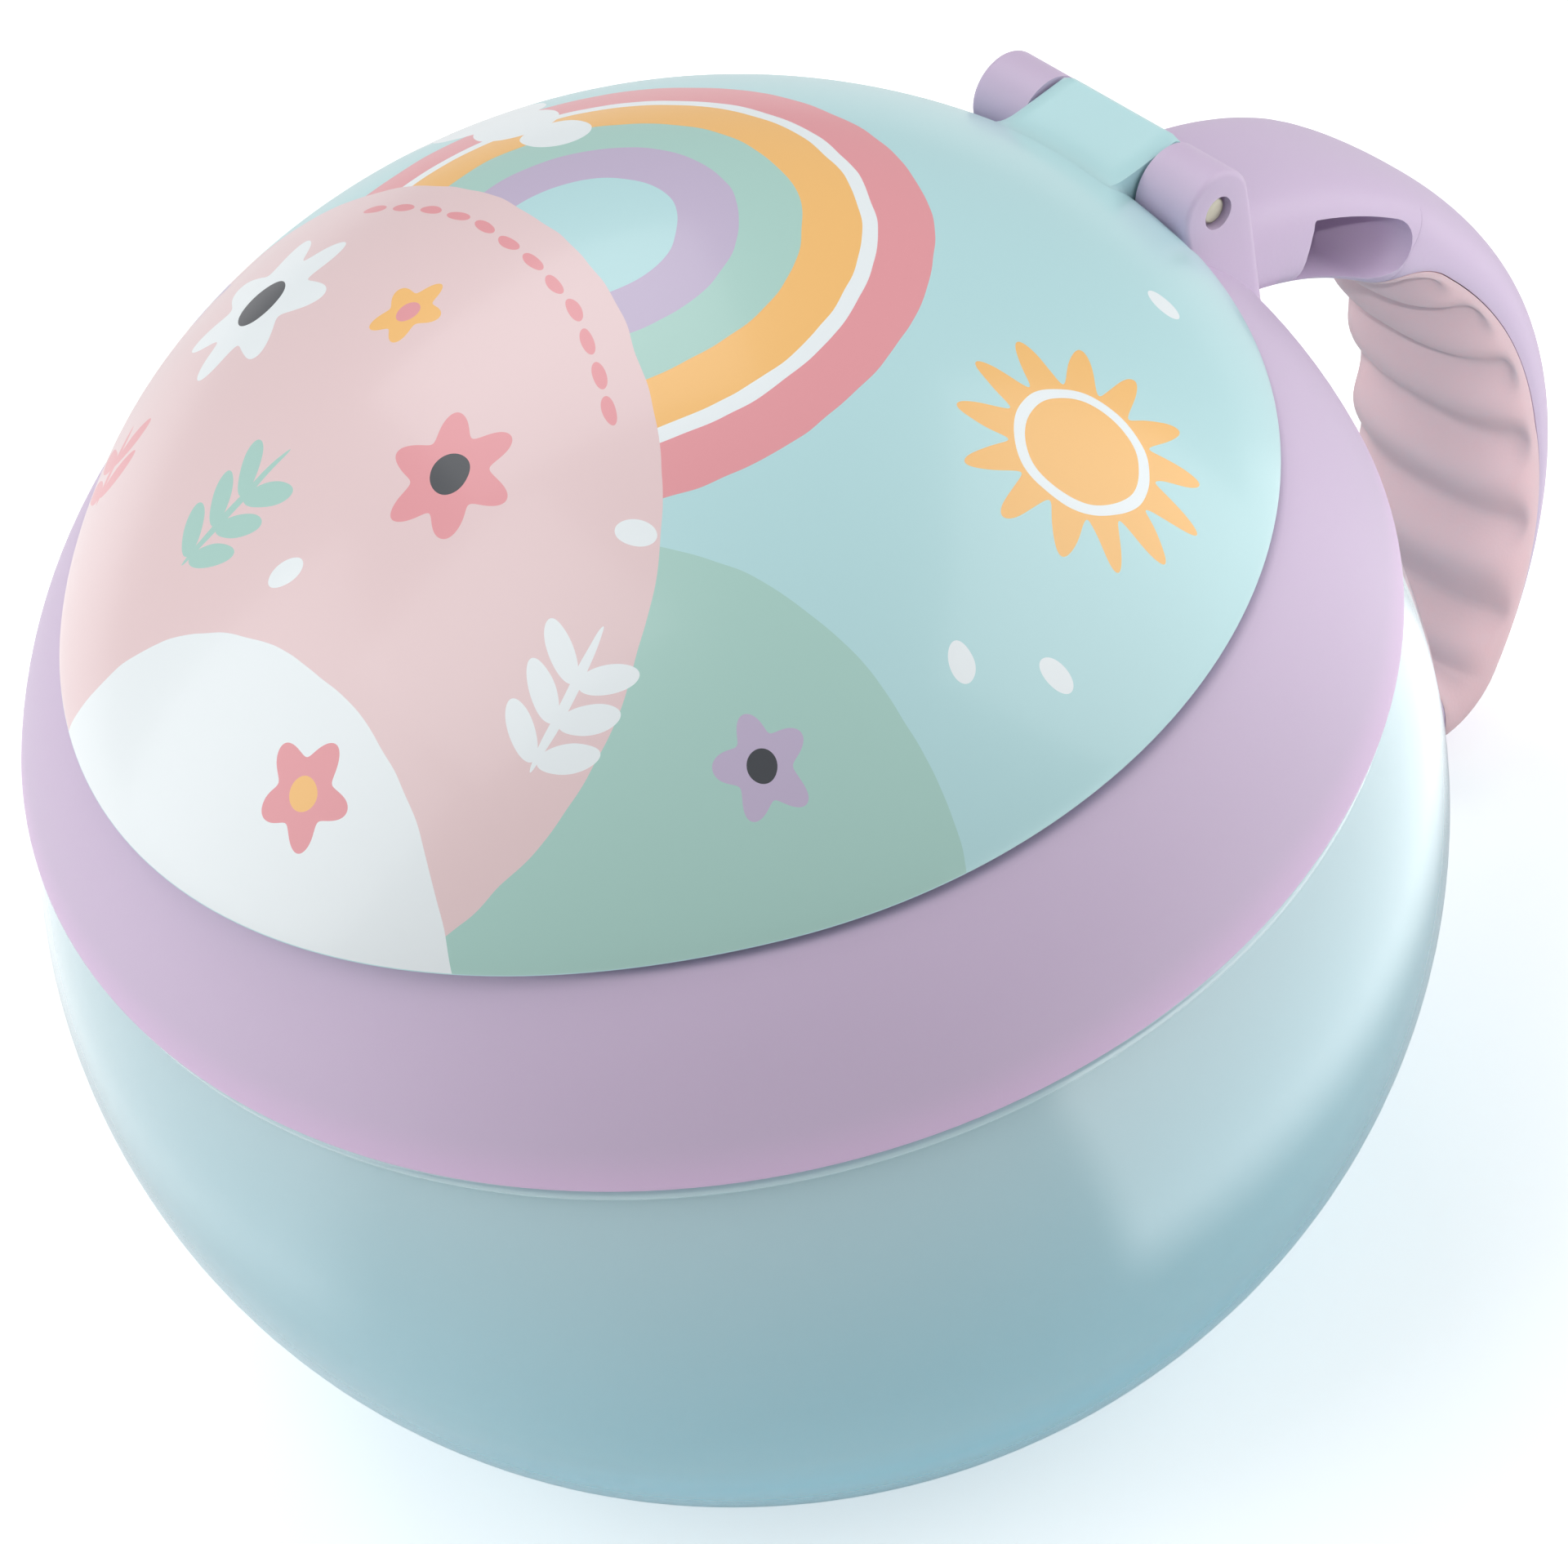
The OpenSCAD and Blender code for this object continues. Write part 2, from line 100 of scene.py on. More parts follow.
class SnackCupSizes(PropertyGroup):
    """Sizes of the pieces' walls and of the handle"""
    bowl_wall: FloatProperty(
        name="Bowl wall", description="Thickness of the bowl's wall", default=2.2 * MM, unit="LENGTH")
    lid_wall: FloatProperty(
        name="Lid wall", description="Thickness of the lid's shell", default=1.8 * MM, unit="LENGTH")
    deck_gap: FloatProperty(
        name="Deck gap", description="Gap between the lid's edge and the collar's deck",
        default=0.8 * MM, unit="LENGTH")
    handle_depth: FloatProperty(
        name="Handle depth", description="Thickness of the handle, from its outer to its inner side",
        default=8.2 * MM, unit="LENGTH")
    handle_width: FloatProperty(
        name="Handle width", description="Width of the handle halfway down its arc",
        default=17.2 * MM, unit="LENGTH")
    ridge_spacing: FloatProperty(
        name="Ridge spacing", description="Distance between the finger ridges on the grip",
        default=7 * MM, unit="LENGTH")
    ridge_depth: FloatProperty(
        name="Ridge depth", description="Depth of the grooves between the finger ridges",
        default=1.6 * MM, unit="LENGTH")


class SnackCupColours(PropertyGroup):
    """Colours of the plastics and of the print inks, as sRGB hex values"""
    lid: StringProperty(name="Lid", description="Aqua of the lid", default="#B5DBDE")
    collar: StringProperty(name="Collar", description="Lavender of the collar", default="#C9B7D1")
    # Painted glow: the collar's rosier lower edge stands for light passing through the thin edge.
    collar_edge_painted_glow: StringProperty(
        name="Collar edge", description="Rosier lavender of the collar's thin lower edge", default="#D5BBDA")
    bowl: StringProperty(name="Bowl", description="Aqua of the milky bowl", default="#86C2D0")
    # Painted refraction: the deeper foot colour stands for the base seen through the bowl's wall.
    bowl_foot_painted_refraction: StringProperty(
        name="Bowl foot", description="Deeper aqua of the bowl's thick foot", default="#6CC3D7")
    bowl_top: StringProperty(name="Bowl top", description="Paler aqua under the collar", default="#B0CCD2")
    grip: StringProperty(name="Grip", description="Pink of the soft grip", default="#EBC6CB")
    insert: StringProperty(name="Insert", description="White of the soft insert", default="#E8EEEF")
    pin: StringProperty(name="Pin", description="Grey of the steel pin", default="#A19D8F")
    blush: StringProperty(name="Blush", description="Pink print ink", default="#E3CACB")
    cream: StringProperty(name="Cream", description="Near-white print ink", default="#E8EFF1")
    rose: StringProperty(name="Rose", description="Rose print ink", default="#E29AA0")
    mustard: StringProperty(name="Mustard", description="Mustard print ink", default="#F2BE74")
    lilac: StringProperty(name="Lilac", description="Lilac print ink", default="#BFB2CC")
    sage: StringProperty(name="Sage", description="Sage print ink", default="#A9CFC6")
    charcoal: StringProperty(name="Charcoal", description="Dark print ink", default="#46494E")


# ---- Modelling helpers -----------------------------------

def smoothstep(low, high, x):
    """Rises smoothly from 0 to 1 while x goes from low to high."""
    t = min(max((x - low) / (high - low), 0), 1)
    return t * t * (3 - 2 * t)


def between(stops, t):
    """The value at t on the straight lines between (place, value) pairs, whose places rise."""
    for (t0, v0), (t1, v1) in zip(stops, stops[1:]):
        if t <= t1:
            return v0 + (v1 - v0) * (max(t, t0) - t0) / (t1 - t0)
    return stops[-1][1]


def steps_between(first, last, count):
    """Count even steps from first up to but without last."""
    return [first + (last - first) * k / count for k in range(count)]


def rounded(corners, steps=4):
    """A profile whose corners, given as (r, z, size), are rounded where their size isn't 0."""
    points = []
    for i, (r, z, size) in enumerate(corners):
        here = Vector((r, z))
        if not size or i in (0, len(corners) - 1):
            points.append(here)
            continue
        before = Vector(corners[i - 1][:2]) - here
        after = Vector(corners[i + 1][:2]) - here
        cut = min(size, 0.48 * before.length, 0.48 * after.length)
        a = here + before.normalized() * cut
        b = here + after.normalized() * cut
        for k in range(steps + 1):
            t = k / steps
            points.append(a * (1 - t) ** 2 + here * 2 * t * (1 - t) + b * t * t)
    return points


def primitive(name, make, **settings):
    """A new object made by one of Blender's own add operators, with nothing else selected."""
    bpy.ops.object.select_all(action="DESELECT")
    make(**settings)
    obj = bpy.context.object
    obj.name = name
    return obj


def select_only(obj):
    """Makes obj the active object and the only selected one."""
    bpy.ops.object.select_all(action="DESELECT")
    obj.select_set(True)
    bpy.context.view_layer.objects.active = obj


def edit_all(obj):
    """Selects all of obj in edit mode."""
    select_only(obj)
    bpy.ops.object.mode_set(mode="EDIT")
    bpy.ops.mesh.select_all(action="SELECT")


def edit_openings(obj, merge_distance=0):
    """Selects the edges round the openings of obj in edit mode, with its doubled points merged if asked."""
    edit_all(obj)
    if merge_distance:
        bpy.ops.mesh.remove_doubles(threshold=merge_distance)
    bpy.ops.mesh.select_all(action="DESELECT")
    bpy.ops.mesh.select_non_manifold()


def close_up(obj, sharp_angle=35):
    """Leaves edit mode, merges doubled points, turns normals outwards and shades smooth up to an angle."""
    bpy.ops.object.mode_set(mode="OBJECT")
    edit_all(obj)
    bpy.ops.mesh.remove_doubles(threshold=1e-6)
    bpy.ops.mesh.dissolve_degenerate(threshold=1e-7)
    bpy.ops.mesh.normals_make_consistent(inside=False)
    bpy.ops.object.mode_set(mode="OBJECT")
    bpy.ops.object.shade_smooth_by_angle(angle=radians(sharp_angle))


def turned(name, profile, steps=160, closed=False):
    """A turned piece: one point is extruded along the profile (r, z), and the line is spun round Z."""
    points = [Vector((p[0], 0, p[1])) for p in profile]
    if closed:
        points.append(points[0])
    obj = primitive(name, bpy.ops.mesh.primitive_plane_add, size=MM)
    edit_all(obj)
    bpy.ops.mesh.merge(type="CENTER")
    bpy.ops.transform.translate(value=points[0])
    for a, b in zip(points, points[1:]):
        bpy.ops.mesh.extrude_vertices_move(TRANSFORM_OT_translate={"value": b - a})
    bpy.ops.mesh.select_all(action="SELECT")
    bpy.ops.mesh.spin(steps=steps, angle=TAU, center=(0, 0, 0), axis=(0, 0, 1))
    close_up(obj)
    return obj


def shaped_grid(name, columns, rows, place):
    """A flat grid whose points are put in place by a function of (u, v), both from 0 to 1."""
    obj = primitive(
        name, bpy.ops.mesh.primitive_grid_add, x_subdivisions=columns, y_subdivisions=rows, size=2)
    for vertex in obj.data.vertices:
        vertex.co = place((vertex.co.x + 1) / 2, (vertex.co.y + 1) / 2)
    return obj


def block(name, low, high):
    """A cube primitive with the given corners."""
    low, high = Vector(low), Vector(high)
    obj = primitive(
        name, bpy.ops.mesh.primitive_cube_add, size=1, location=(low + high) / 2, scale=high - low)
    bpy.ops.object.transform_apply()
    return obj


def rod(name, centre, radius, length, sides=48):
    """A cylinder along Y."""
    obj = primitive(
        name, bpy.ops.mesh.primitive_cylinder_add,
        vertices=sides, radius=radius, depth=length, location=centre, rotation=(pi / 2, 0, 0))
    bpy.ops.object.transform_apply()
    return obj


def bevel_edges(obj, chosen, width, segments):
    """Bevels the edges for which chosen(middle, direction) is true."""
    edit_all(obj)
    bpy.ops.mesh.select_all(action="DESELECT")
    mesh = bmesh.from_edit_mesh(obj.data)
    for edge in mesh.edges:
        a, b = (v.co for v in edge.verts)
        edge.select = bool(chosen((a + b) / 2, (b - a).normalized()))
    bmesh.update_edit_mesh(obj.data)
    bpy.ops.mesh.bevel(offset=width, segments=segments, affect="EDGES")
    bpy.ops.object.mode_set(mode="OBJECT")


def combine(obj, other, operation):
    """Joins other to obj, or cuts it away, and removes other."""
    select_only(obj)
    modifier = obj.modifiers.new("Boolean", "BOOLEAN")
    modifier.operation = operation
    modifier.object = other
    modifier.solver = "EXACT"
    bpy.ops.object.modifier_apply(modifier=modifier.name)
    bpy.data.objects.remove(other)


def join(obj, *others):
    """Makes several closed shells one piece."""
    select_only(obj)
    for other in others:
        other.select_set(True)
    bpy.ops.object.join()


def set_materials(obj, *materials):
    """Gives a piece these materials in place of those it has."""
    obj.data.materials.clear()
    for material in materials:
        obj.data.materials.append(material)


def finish_piece(obj, body, slot, *nodes):
    """Gives a piece its body and hides the nodes that it stands for. The slot is not used."""
    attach(obj, body)
    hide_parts(*nodes)


# ---- Material helpers ------------------------------------

def linear(hex_colour):
    """The linear colour of an sRGB hex value."""
    values = [int(hex_colour[i:i + 2], 16) / 255 for i in (1, 3, 5)]
    return tuple(v / 12.92 if v <= 0.04045 else ((v + 0.055) / 1.055) ** 2.4 for v in values) + (1,)


def add(tree, kind, inputs=(), **settings):
    """Adds a shader node, sets its settings, and fills its inputs with links or values."""
    node = tree.nodes.new("ShaderNode" + kind)
    for key, value in settings.items():
        setattr(node, key, value)
    for key, value in dict(inputs).items():
        if isinstance(value, bpy.types.NodeSocket):
            tree.links.new(value, node.inputs[key])
        else:
            node.inputs[key].default_value = value
    return node


def maths(tree, operation, *values):
    """The result of a Math node."""
    return add(tree, "Math", dict(enumerate(values)), operation=operation).outputs[0]


def vectors(tree, operation, *values):
    """The result of a Vector Math node: a number for a length or a dot product, and else a vector."""
    node = add(tree, "VectorMath", dict(enumerate(values)), operation=operation)
    return node.outputs["Value" if operation in ("LENGTH", "DOT_PRODUCT") else "Vector"]


def fade(tree, value, start, end, most=1.0):
    """Rises smoothly from 0 to most while a value goes from start to end."""
    inputs = {"Value": value, "From Min": start, "From Max": end, "To Max": most}
    return add(tree, "MapRange", inputs, interpolation_type="SMOOTHSTEP").outputs[0]


def mixed(tree, share, colour, other):
    """A colour mixed with a share of another."""
    return add(tree, "Mix", {0: share, 6: colour, 7: other}, data_type="RGBA").outputs[2]


def object_place(tree):
    """Places on the object itself, in metres."""
    return add(tree, "TexCoord").outputs["Object"]


def noise(tree, grain, **settings):
    """Noise whose grain is its real size in metres."""
    return add(tree, "TexNoise", {"Vector": object_place(tree), "Scale": 1 / grain, **settings})


def new_material(name, **shader):
    """A material with a Principled shader whose sockets are set by name."""
    material = bpy.data.materials.new(name)
    material.use_nodes = True
    tree = material.node_tree
    principled = tree.nodes["Principled BSDF"]
    for key, value in shader.items():
        principled.inputs[key.replace("_", " ")].default_value = value
    return material, tree, principled


def moulded_bump(tree, principled, grain, height):
    """Fine surface texture of a moulded piece."""
    texture = noise(tree, grain, Detail=2.0, Roughness=0.5)
    bump = add(tree, "Bump", {"Height": texture.outputs[0], "Distance": height, "Strength": 1.0})
    tree.links.new(bump.outputs[0], principled.inputs["Normal"])


def varied_colour(tree, principled, colour, patch, amount):
    """Slight uneven tint of a moulded colour, in soft patches of a real size."""
    shift = add(tree, "MapRange", {
        "Value": noise(tree, patch, Detail=1.0).outputs[0], "From Min": 0.3, "From Max": 0.7,
        "To Min": 1 - amount, "To Max": 1 + amount})
    tint = add(tree, "HueSaturation", {"Color": linear(colour), "Value": shift.outputs[0]})
    tree.links.new(tint.outputs[0], principled.inputs["Base Color"])
    return tint.outputs[0]


# ---- Materials -------------------------------------------

def satin_polypropylene(colours):
    """Collar and handle: moulded polypropylene, which has a soft wide highlight and a fine spark texture.

    The collar's thin lower edge has a painted glow: a rosier tint that stands for the light which passes
    through it.
    """
    material, tree, principled = new_material(
        "satin_moulded_polypropylene", Roughness=0.48, IOR=1.49, Subsurface_Weight=0.12,
        Subsurface_Radius=(1.0, 0.7, 1.0), Subsurface_Scale=1.5 * MM)
    painted_glow_height = 3.5 * MM
    moulded = varied_colour(tree, principled, colours.collar, 25 * MM, 0.015)
    # Painted glow: a rosier tint fades in towards the collar's lower edge, on the collar only, in place of
    # light passing through the thin edge.
    split = add(tree, "SeparateXYZ", {0: object_place(tree)})
    painted_glow_fade = fade(tree, split.outputs["Z"], COLLAR_Z + painted_glow_height, COLLAR_Z)
    on_collar = maths(tree, "LESS_THAN", split.outputs["X"], BOWL_R)
    share = maths(tree, "MULTIPLY", painted_glow_fade, on_collar)
    tinted = mixed(tree, share, moulded, linear(colours.collar_edge_painted_glow))
    tree.links.new(tinted, principled.inputs["Base Color"])
    moulded_bump(tree, principled, 0.35 * MM, 0.006 * MM)
    return material


def glossy_polypropylene(colours):
    """Lid underside and hinge block: the same plastic from a polished mould, a little glossier."""
    material, tree, principled = new_material(
        "gloss_moulded_polypropylene", Roughness=0.3, IOR=1.49, Subsurface_Weight=0.1,
        Subsurface_Radius=(0.8, 1.0, 1.0), Subsurface_Scale=1.5 * MM)
    varied_colour(tree, principled, colours.lid, 25 * MM, 0.012)
    return material


def milky_copolyester(colours):
    """Bowl: tinted copolyester from a polished mould, with painted refraction: deeper aqua towards its foot
    stands for the base seen through the wall.

    It is milky, and light that has entered elsewhere leaves it everywhere, which a faint glow stands for.
    """
    material, tree, principled = new_material(
        "tinted_milky_copolyester", Roughness=0.1, IOR=1.5, Transmission_Weight=0.15,
        Subsurface_Weight=0.35, Subsurface_Radius=(1.0, 1.0, 1.0), Subsurface_Scale=3 * MM,
        Coat_Weight=0.8, Coat_IOR=1.6, Coat_Roughness=0.03, Emission_Strength=0.1)
    split = add(tree, "SeparateXYZ", {0: object_place(tree)})
    height = add(tree, "MapRange", {"Value": split.outputs["Z"], "From Min": 0.0, "From Max": COLLAR_Z})
    ramp = add(tree, "ValToRGB", {0: height.outputs[0]})
    # The deeper aqua at the foot is painted refraction, the base seen through the wall.
    stops = (
        (0.0, colours.bowl_foot_painted_refraction), (0.4, colours.bowl_foot_painted_refraction), (0.48, colours.bowl), (1.0, colours.bowl_top))
    while len(ramp.color_ramp.elements) < len(stops):
        ramp.color_ramp.elements.new(0.5)
    for element, (position, colour) in zip(ramp.color_ramp.elements, stops):
        element.position = position
        element.color = linear(colour)
    tree.links.new(ramp.outputs[0], principled.inputs["Base Color"])
    # Painted glow: the bowl's colours also shine faintly, in place of light that passes through the milky
    # plastic.
    tree.links.new(ramp.outputs[0], principled.inputs["Emission Color"])
    return material


def thermoplastic_elastomer(name, colour, roughness):
    """Grip and insert: soft moulded elastomer, matt, and glowing a little where light enters thin edges."""
    material, tree, principled = new_material(
        name, Roughness=roughness, IOR=1.45, Subsurface_Weight=0.3,
        Subsurface_Radius=(1.0, 0.6, 0.6), Subsurface_Scale=2.5 * MM)
    varied_colour(tree, principled, colour, 12 * MM, 0.02)
    moulded_bump(tree, principled, 0.25 * MM, 0.01 * MM)
    return material


def turned_steel(colours):
    """Hinge pin: cut stainless steel wire, dull, with a fine turned face."""
    material, tree, principled = new_material("cut_stainless_steel", Metallic=0.85, Roughness=0.42)
    varied_colour(tree, principled, colours.pin, 0.8 * MM, 0.12)
    moulded_bump(tree, principled, 0.1 * MM, 0.004 * MM)
    return material


def printed_polypropylene(colours):
    """Lid dome: glossy moulded plastic with flat pastel inks under a clear lacquer."""
    material, tree, principled = new_material(
        "printed_lacquered_polypropylene", Roughness=0.34, IOR=1.49, Coat_Weight=0.25, Coat_Roughness=0.12)
    tree.links.new(print_colour(tree, colours), principled.inputs["Base Color"])
    return material


# ---- Printed picture on the lid --------------------------

# The picture is laid out in millimetres along the dome from its top: across to the right, and up towards
# the hinge. Each motif is (ink, (across, up), (half width, half height), turn in degrees, petals).
RAINBOW_PLACE = (-4, 1)
RAINBOW_BANDS = (
    ("rose", 22), ("cream", 18.4), ("mustard", 17.4), ("sage", 13.8), ("lilac", 10), ("lid", 6.2))
SUN_PLACE = (28, 14)
BLUSH_HILL, BLUSH_RADII = (-13, -28), (36, 29)
STITCH_INSET = 2.6
SPECKS = (
    ((38, 2), 20), ((34, -3), -30), ((-2, -27.5), 60), ((20, 30), 10), ((-20, 34), -20), ((15.5, -12.5), 35))


def disc(ink, spot, radius):
    """A round motif."""
    return (ink, spot, (radius, radius), 0, 0)


def sprig(ink, foot, lean, leaves):
    """A stem with pairs of leaves."""
    step = Vector((sin(radians(lean)), cos(radians(lean))))
    side = Vector((step.y, -step.x))
    middle = Vector(foot) + step * leaves * 1.5
    parts = [(ink, middle[:], (0.35, leaves * 1.6), -lean, 0)]
    for k in range(leaves):
        for way in (-1, 1):
            spot = Vector(foot) + step * (1.6 + 2.6 * k) + side * way * 1.7
            parts.append((ink, spot[:], (0.85, 2.0), -lean - way * 50, 0))
    return parts


def bloom(ink, eye, spot, size, petals):
    """A flower: petals round an eye."""
    return [(ink, spot, (size, size), 12, petals), disc(eye, spot, size * 0.3)]


def stitches(ink, centre, radii, first, last, count):
    """Short dashes along part of an ellipse, as a running stitch."""
    marks = []
    for k in range(count):
        angle = radians(first + (last - first) * k / (count - 1))
        spot = (centre[0] + radii[0] * cos(angle), centre[1] + radii[1] * sin(angle))
        along = degrees(atan2(radii[1] * cos(angle), -radii[0] * sin(angle)))
        marks.append((ink, spot, (1.1, 0.4), along, 0))
    return marks


RAINBOW = [disc(ink, RAINBOW_PLACE, radius) for ink, radius in RAINBOW_BANDS]
SUN = [
    ("mustard", SUN_PLACE, (8.2, 8.2), 0, 13),
    disc("cream", SUN_PLACE, 4.5),
    disc("mustard", SUN_PLACE, 3.8),
]
CLOUD = [
    ("cream", (-33 + 5.6 * k, 9 + lift), (size, 0.8 * size), 0, 0)
    for k, lift, size in ((0, 0, 3.4), (1, 1.6, 4.8), (2, 0.3, 3.6), (3, -0.3, 2.6))
]
HILLS = [
    ("sage", (31, -30), (24, 22), 0, 0),
    ("blush", BLUSH_HILL, BLUSH_RADII, 0, 0),
    disc("cream", (4, -55), 24),
]
PICTURE = (
    RAINBOW + SUN + CLOUD + HILLS
    + stitches("rose", BLUSH_HILL, [r - STITCH_INSET for r in BLUSH_RADII], 50, 106, 12)
    + bloom("cream", "charcoal", (-24, -12), 6.6, 7)
    + bloom("rose", "charcoal", (3.5, -17), 4.3, 6)
    + bloom("mustard", "rose", (-9, -9.5), 2.7, 5)
    + bloom("rose", "mustard", (8, -37), 3.4, 5)
    + bloom("lilac", "charcoal", (30.5, -17), 3.2, 5)
    + bloom("lilac", "cream", (-37.5, -10), 2.8, 5)
    + sprig("sage", (-11, -30), 16, 3)
    + sprig("rose", (-29, -28), -20, 2)
    + sprig("cream", (20, -27), -12, 3)
    + [("cream", spot, (1.3, 0.8), turn, 0) for spot, turn in SPECKS]
)


def print_place(tree):
    """Places on the print in millimetres, measured along the dome, with a slight hand-drawn waver."""
    place = object_place(tree)
    reach = vectors(tree, "LENGTH", vectors(tree, "SUBTRACT", place, (0, 0, LID_TOP)))
    flat = add(tree, "Mapping", {
        "Vector": place, "Rotation": (0, 0, pi / 2), "Scale": (1 / MM, 1 / MM, 0)}, vector_type="POINT")
    way = vectors(tree, "NORMALIZE", flat.outputs[0])
    reach_mm = maths(tree, "MULTIPLY", reach, 1 / MM)
    spread = add(tree, "VectorMath", {0: way, "Scale": reach_mm}, operation="SCALE")
    waver = add(tree, "TexNoise", {"Vector": place, "Scale": 1 / (5 * MM), "Detail": 1.0})
    return vectors(tree, "MULTIPLY_ADD", waver.outputs["Color"], (0.7, 0.7, 0), spread.outputs[0])


def print_colour(tree, colours):
    """The colour of the printed lid at each point."""
    spread = print_place(tree)
    colour = linear(colours.lid)
    for ink, spot, radii, turn, petals in PICTURE:
        local = add(tree, "Mapping", {
            "Vector": spread, "Location": (*spot, 0), "Rotation": (0, 0, radians(turn)),
            "Scale": (*radii, 1)}, vector_type="TEXTURE").outputs[0]
        reach = vectors(tree, "LENGTH", local)
        edge = 1.0
        if petals:
            split = add(tree, "SeparateXYZ", {0: local})
            angle = maths(tree, "ARCTAN2", split.outputs[1], split.outputs[0])
            wave = maths(tree, "COSINE", maths(tree, "MULTIPLY", angle, petals))
            edge = maths(tree, "MULTIPLY_ADD", wave, 0.2, 0.8)
        inside = maths(tree, "LESS_THAN", reach, edge)
        colour = mixed(tree, inside, colour, linear(getattr(colours, ink)))
    return colour


# ---- Bowl ------------------------------------------------

RING_STEPS = 192
THREAD_STARTS = 3
THREAD_LEAD = 12 * MM
THREAD_SPAN = radians(80)
THREAD_Z = SHOULDER_Z + 3 * MM


def quarter(low_r, high_r, base_z, height, first, last, count):
    """Points on a quarter ellipse below base_z, between two angles in degrees from its widest point."""
    points = []
    for k in range(count + 1):
        t = radians(first + (last - first) * k / count)
        points.append((low_r + (high_r - low_r) * cos(t), base_z - height * sin(t), 0))
    return points


def belly_top(radius, top_r, top_z, count):
    """Points (r, z) from just above the belly up to the top of the round wall."""
    reach = acos(top_r / radius)
    points = []
    for k in range(1, count + 1):
        t = reach * k / count
        z = BELLY_Z + (top_z - BELLY_Z) * sin(t) / sin(reach)
        points.append((radius * cos(t), z, 0))
    return points


def bowl_profile(sizes):
    """The closed outline of the bowl's wall, from the middle of the foot out, up, over the rim and back."""
    foot_r, foot_z, recess = 25 * MM, 2.1 * MM, 0.6 * MM
    groove_r, bead_r = COLLAR_R - 1.1 * MM, COLLAR_R - 0.5 * MM
    bead_h, neck_wall, floor_t = 1.2 * MM, 2.4 * MM, 2.6 * MM
    inner_r = BOWL_R - sizes.bowl_wall
    neck_in = NECK_R - neck_wall
    top_z = SHOULDER_Z - sizes.bowl_wall
    first = degrees(acos((foot_r - UNDER_R) / (BOWL_R - UNDER_R)))
    foot_scale = (BELLY_Z - foot_z) / sin(radians(first))
    outside = [
        (0, recess, 0),
        (foot_r - 4 * MM, recess, 0.4 * MM),
        (foot_r - 3.4 * MM, 0, 0.4 * MM),
        (foot_r - 0.6 * MM, 0, 0.5 * MM),
        (foot_r, 0.9 * MM, 0.4 * MM),
    ]
    outside += quarter(UNDER_R, BOWL_R, BELLY_Z, foot_scale, first, 0, 28)
    outside += belly_top(BOWL_R, groove_r, SHOULDER_Z - bead_h, 14)
    outside += [
        (bead_r, SHOULDER_Z - 0.75 * bead_h, 0.25 * MM),
        (bead_r, SHOULDER_Z - 0.25 * bead_h, 0.25 * MM),
        (groove_r, SHOULDER_Z, 0.2 * MM),
        (NECK_R, SHOULDER_Z, 0.3 * MM),
        (NECK_R, RIM_Z, 0.6 * MM),
        (neck_in, RIM_Z, 0.6 * MM),
        (neck_in, top_z, 0.8 * MM),
    ]
    inside = belly_top(inner_r, groove_r - sizes.bowl_wall, top_z, 12)[::-1]
    inside += quarter(UNDER_R, inner_r, BELLY_Z, BELLY_Z - floor_t, 0, 90, 26)
    inside += [(0, floor_t, 0)]
    return rounded(outside + inside)


def thread_rib(name, start):
    """One rib of the screw thread: a tapered bar that climbs round the neck and fades at both ends."""
    root_r, crest_r, half = NECK_R - 0.3 * MM, NECK_R + 1.2 * MM, 0.75 * MM
    section = ((root_r, -half), (crest_r, -half / 2), (crest_r, half / 2), (root_r, half), (root_r, -half))

    def place(u, v):
        r, z = section[round(v * 4)]
        grow = min(1, 0.1 + 7 * u, 0.1 + 7 * (1 - u))
        angle = start + THREAD_SPAN * u
        r = root_r + (r - root_r) * grow
        climb = THREAD_LEAD * THREAD_SPAN * u / TAU
        return Vector((r * cos(angle), r * sin(angle), THREAD_Z + climb + z * (0.4 + 0.6 * grow)))

    rib = shaped_grid(name, 28, 4, place)
    edit_openings(rib, merge_distance=1e-7)
    bpy.ops.mesh.fill()
    close_up(rib)
    return rib


class SNACKCUP_OT_bowl(Operator):
    """Turns the bowl from its outline and adds the screw thread round its neck"""
    bl_idname = "snackcup.bowl"
    bl_label = "Bowl"

    def execute(self, context):
        scene = context.scene
        bowl = turned("bowl_shell", bowl_profile(scene.snackcup_sizes), steps=RING_STEPS)
        join(bowl, *[thread_rib(f"thread_rib_{k}", TAU * k / THREAD_STARTS) for k in range(THREAD_STARTS)])
        set_materials(bowl, milky_copolyester(scene.snackcup_colours))
        finish_piece(bowl, "bowl", "bowl_plastic", "bowl")
        return {"FINISHED"}


# ---- Collar and handle -----------------------------------

KNUCKLE_IN = 5.5 * MM
KNUCKLE_OUT = 10.2 * MM
BLOCK_ROOM_R = 3.85 * MM  # the room in which the lid's hinge block turns
DECK_R = LID_R + 0.6 * MM


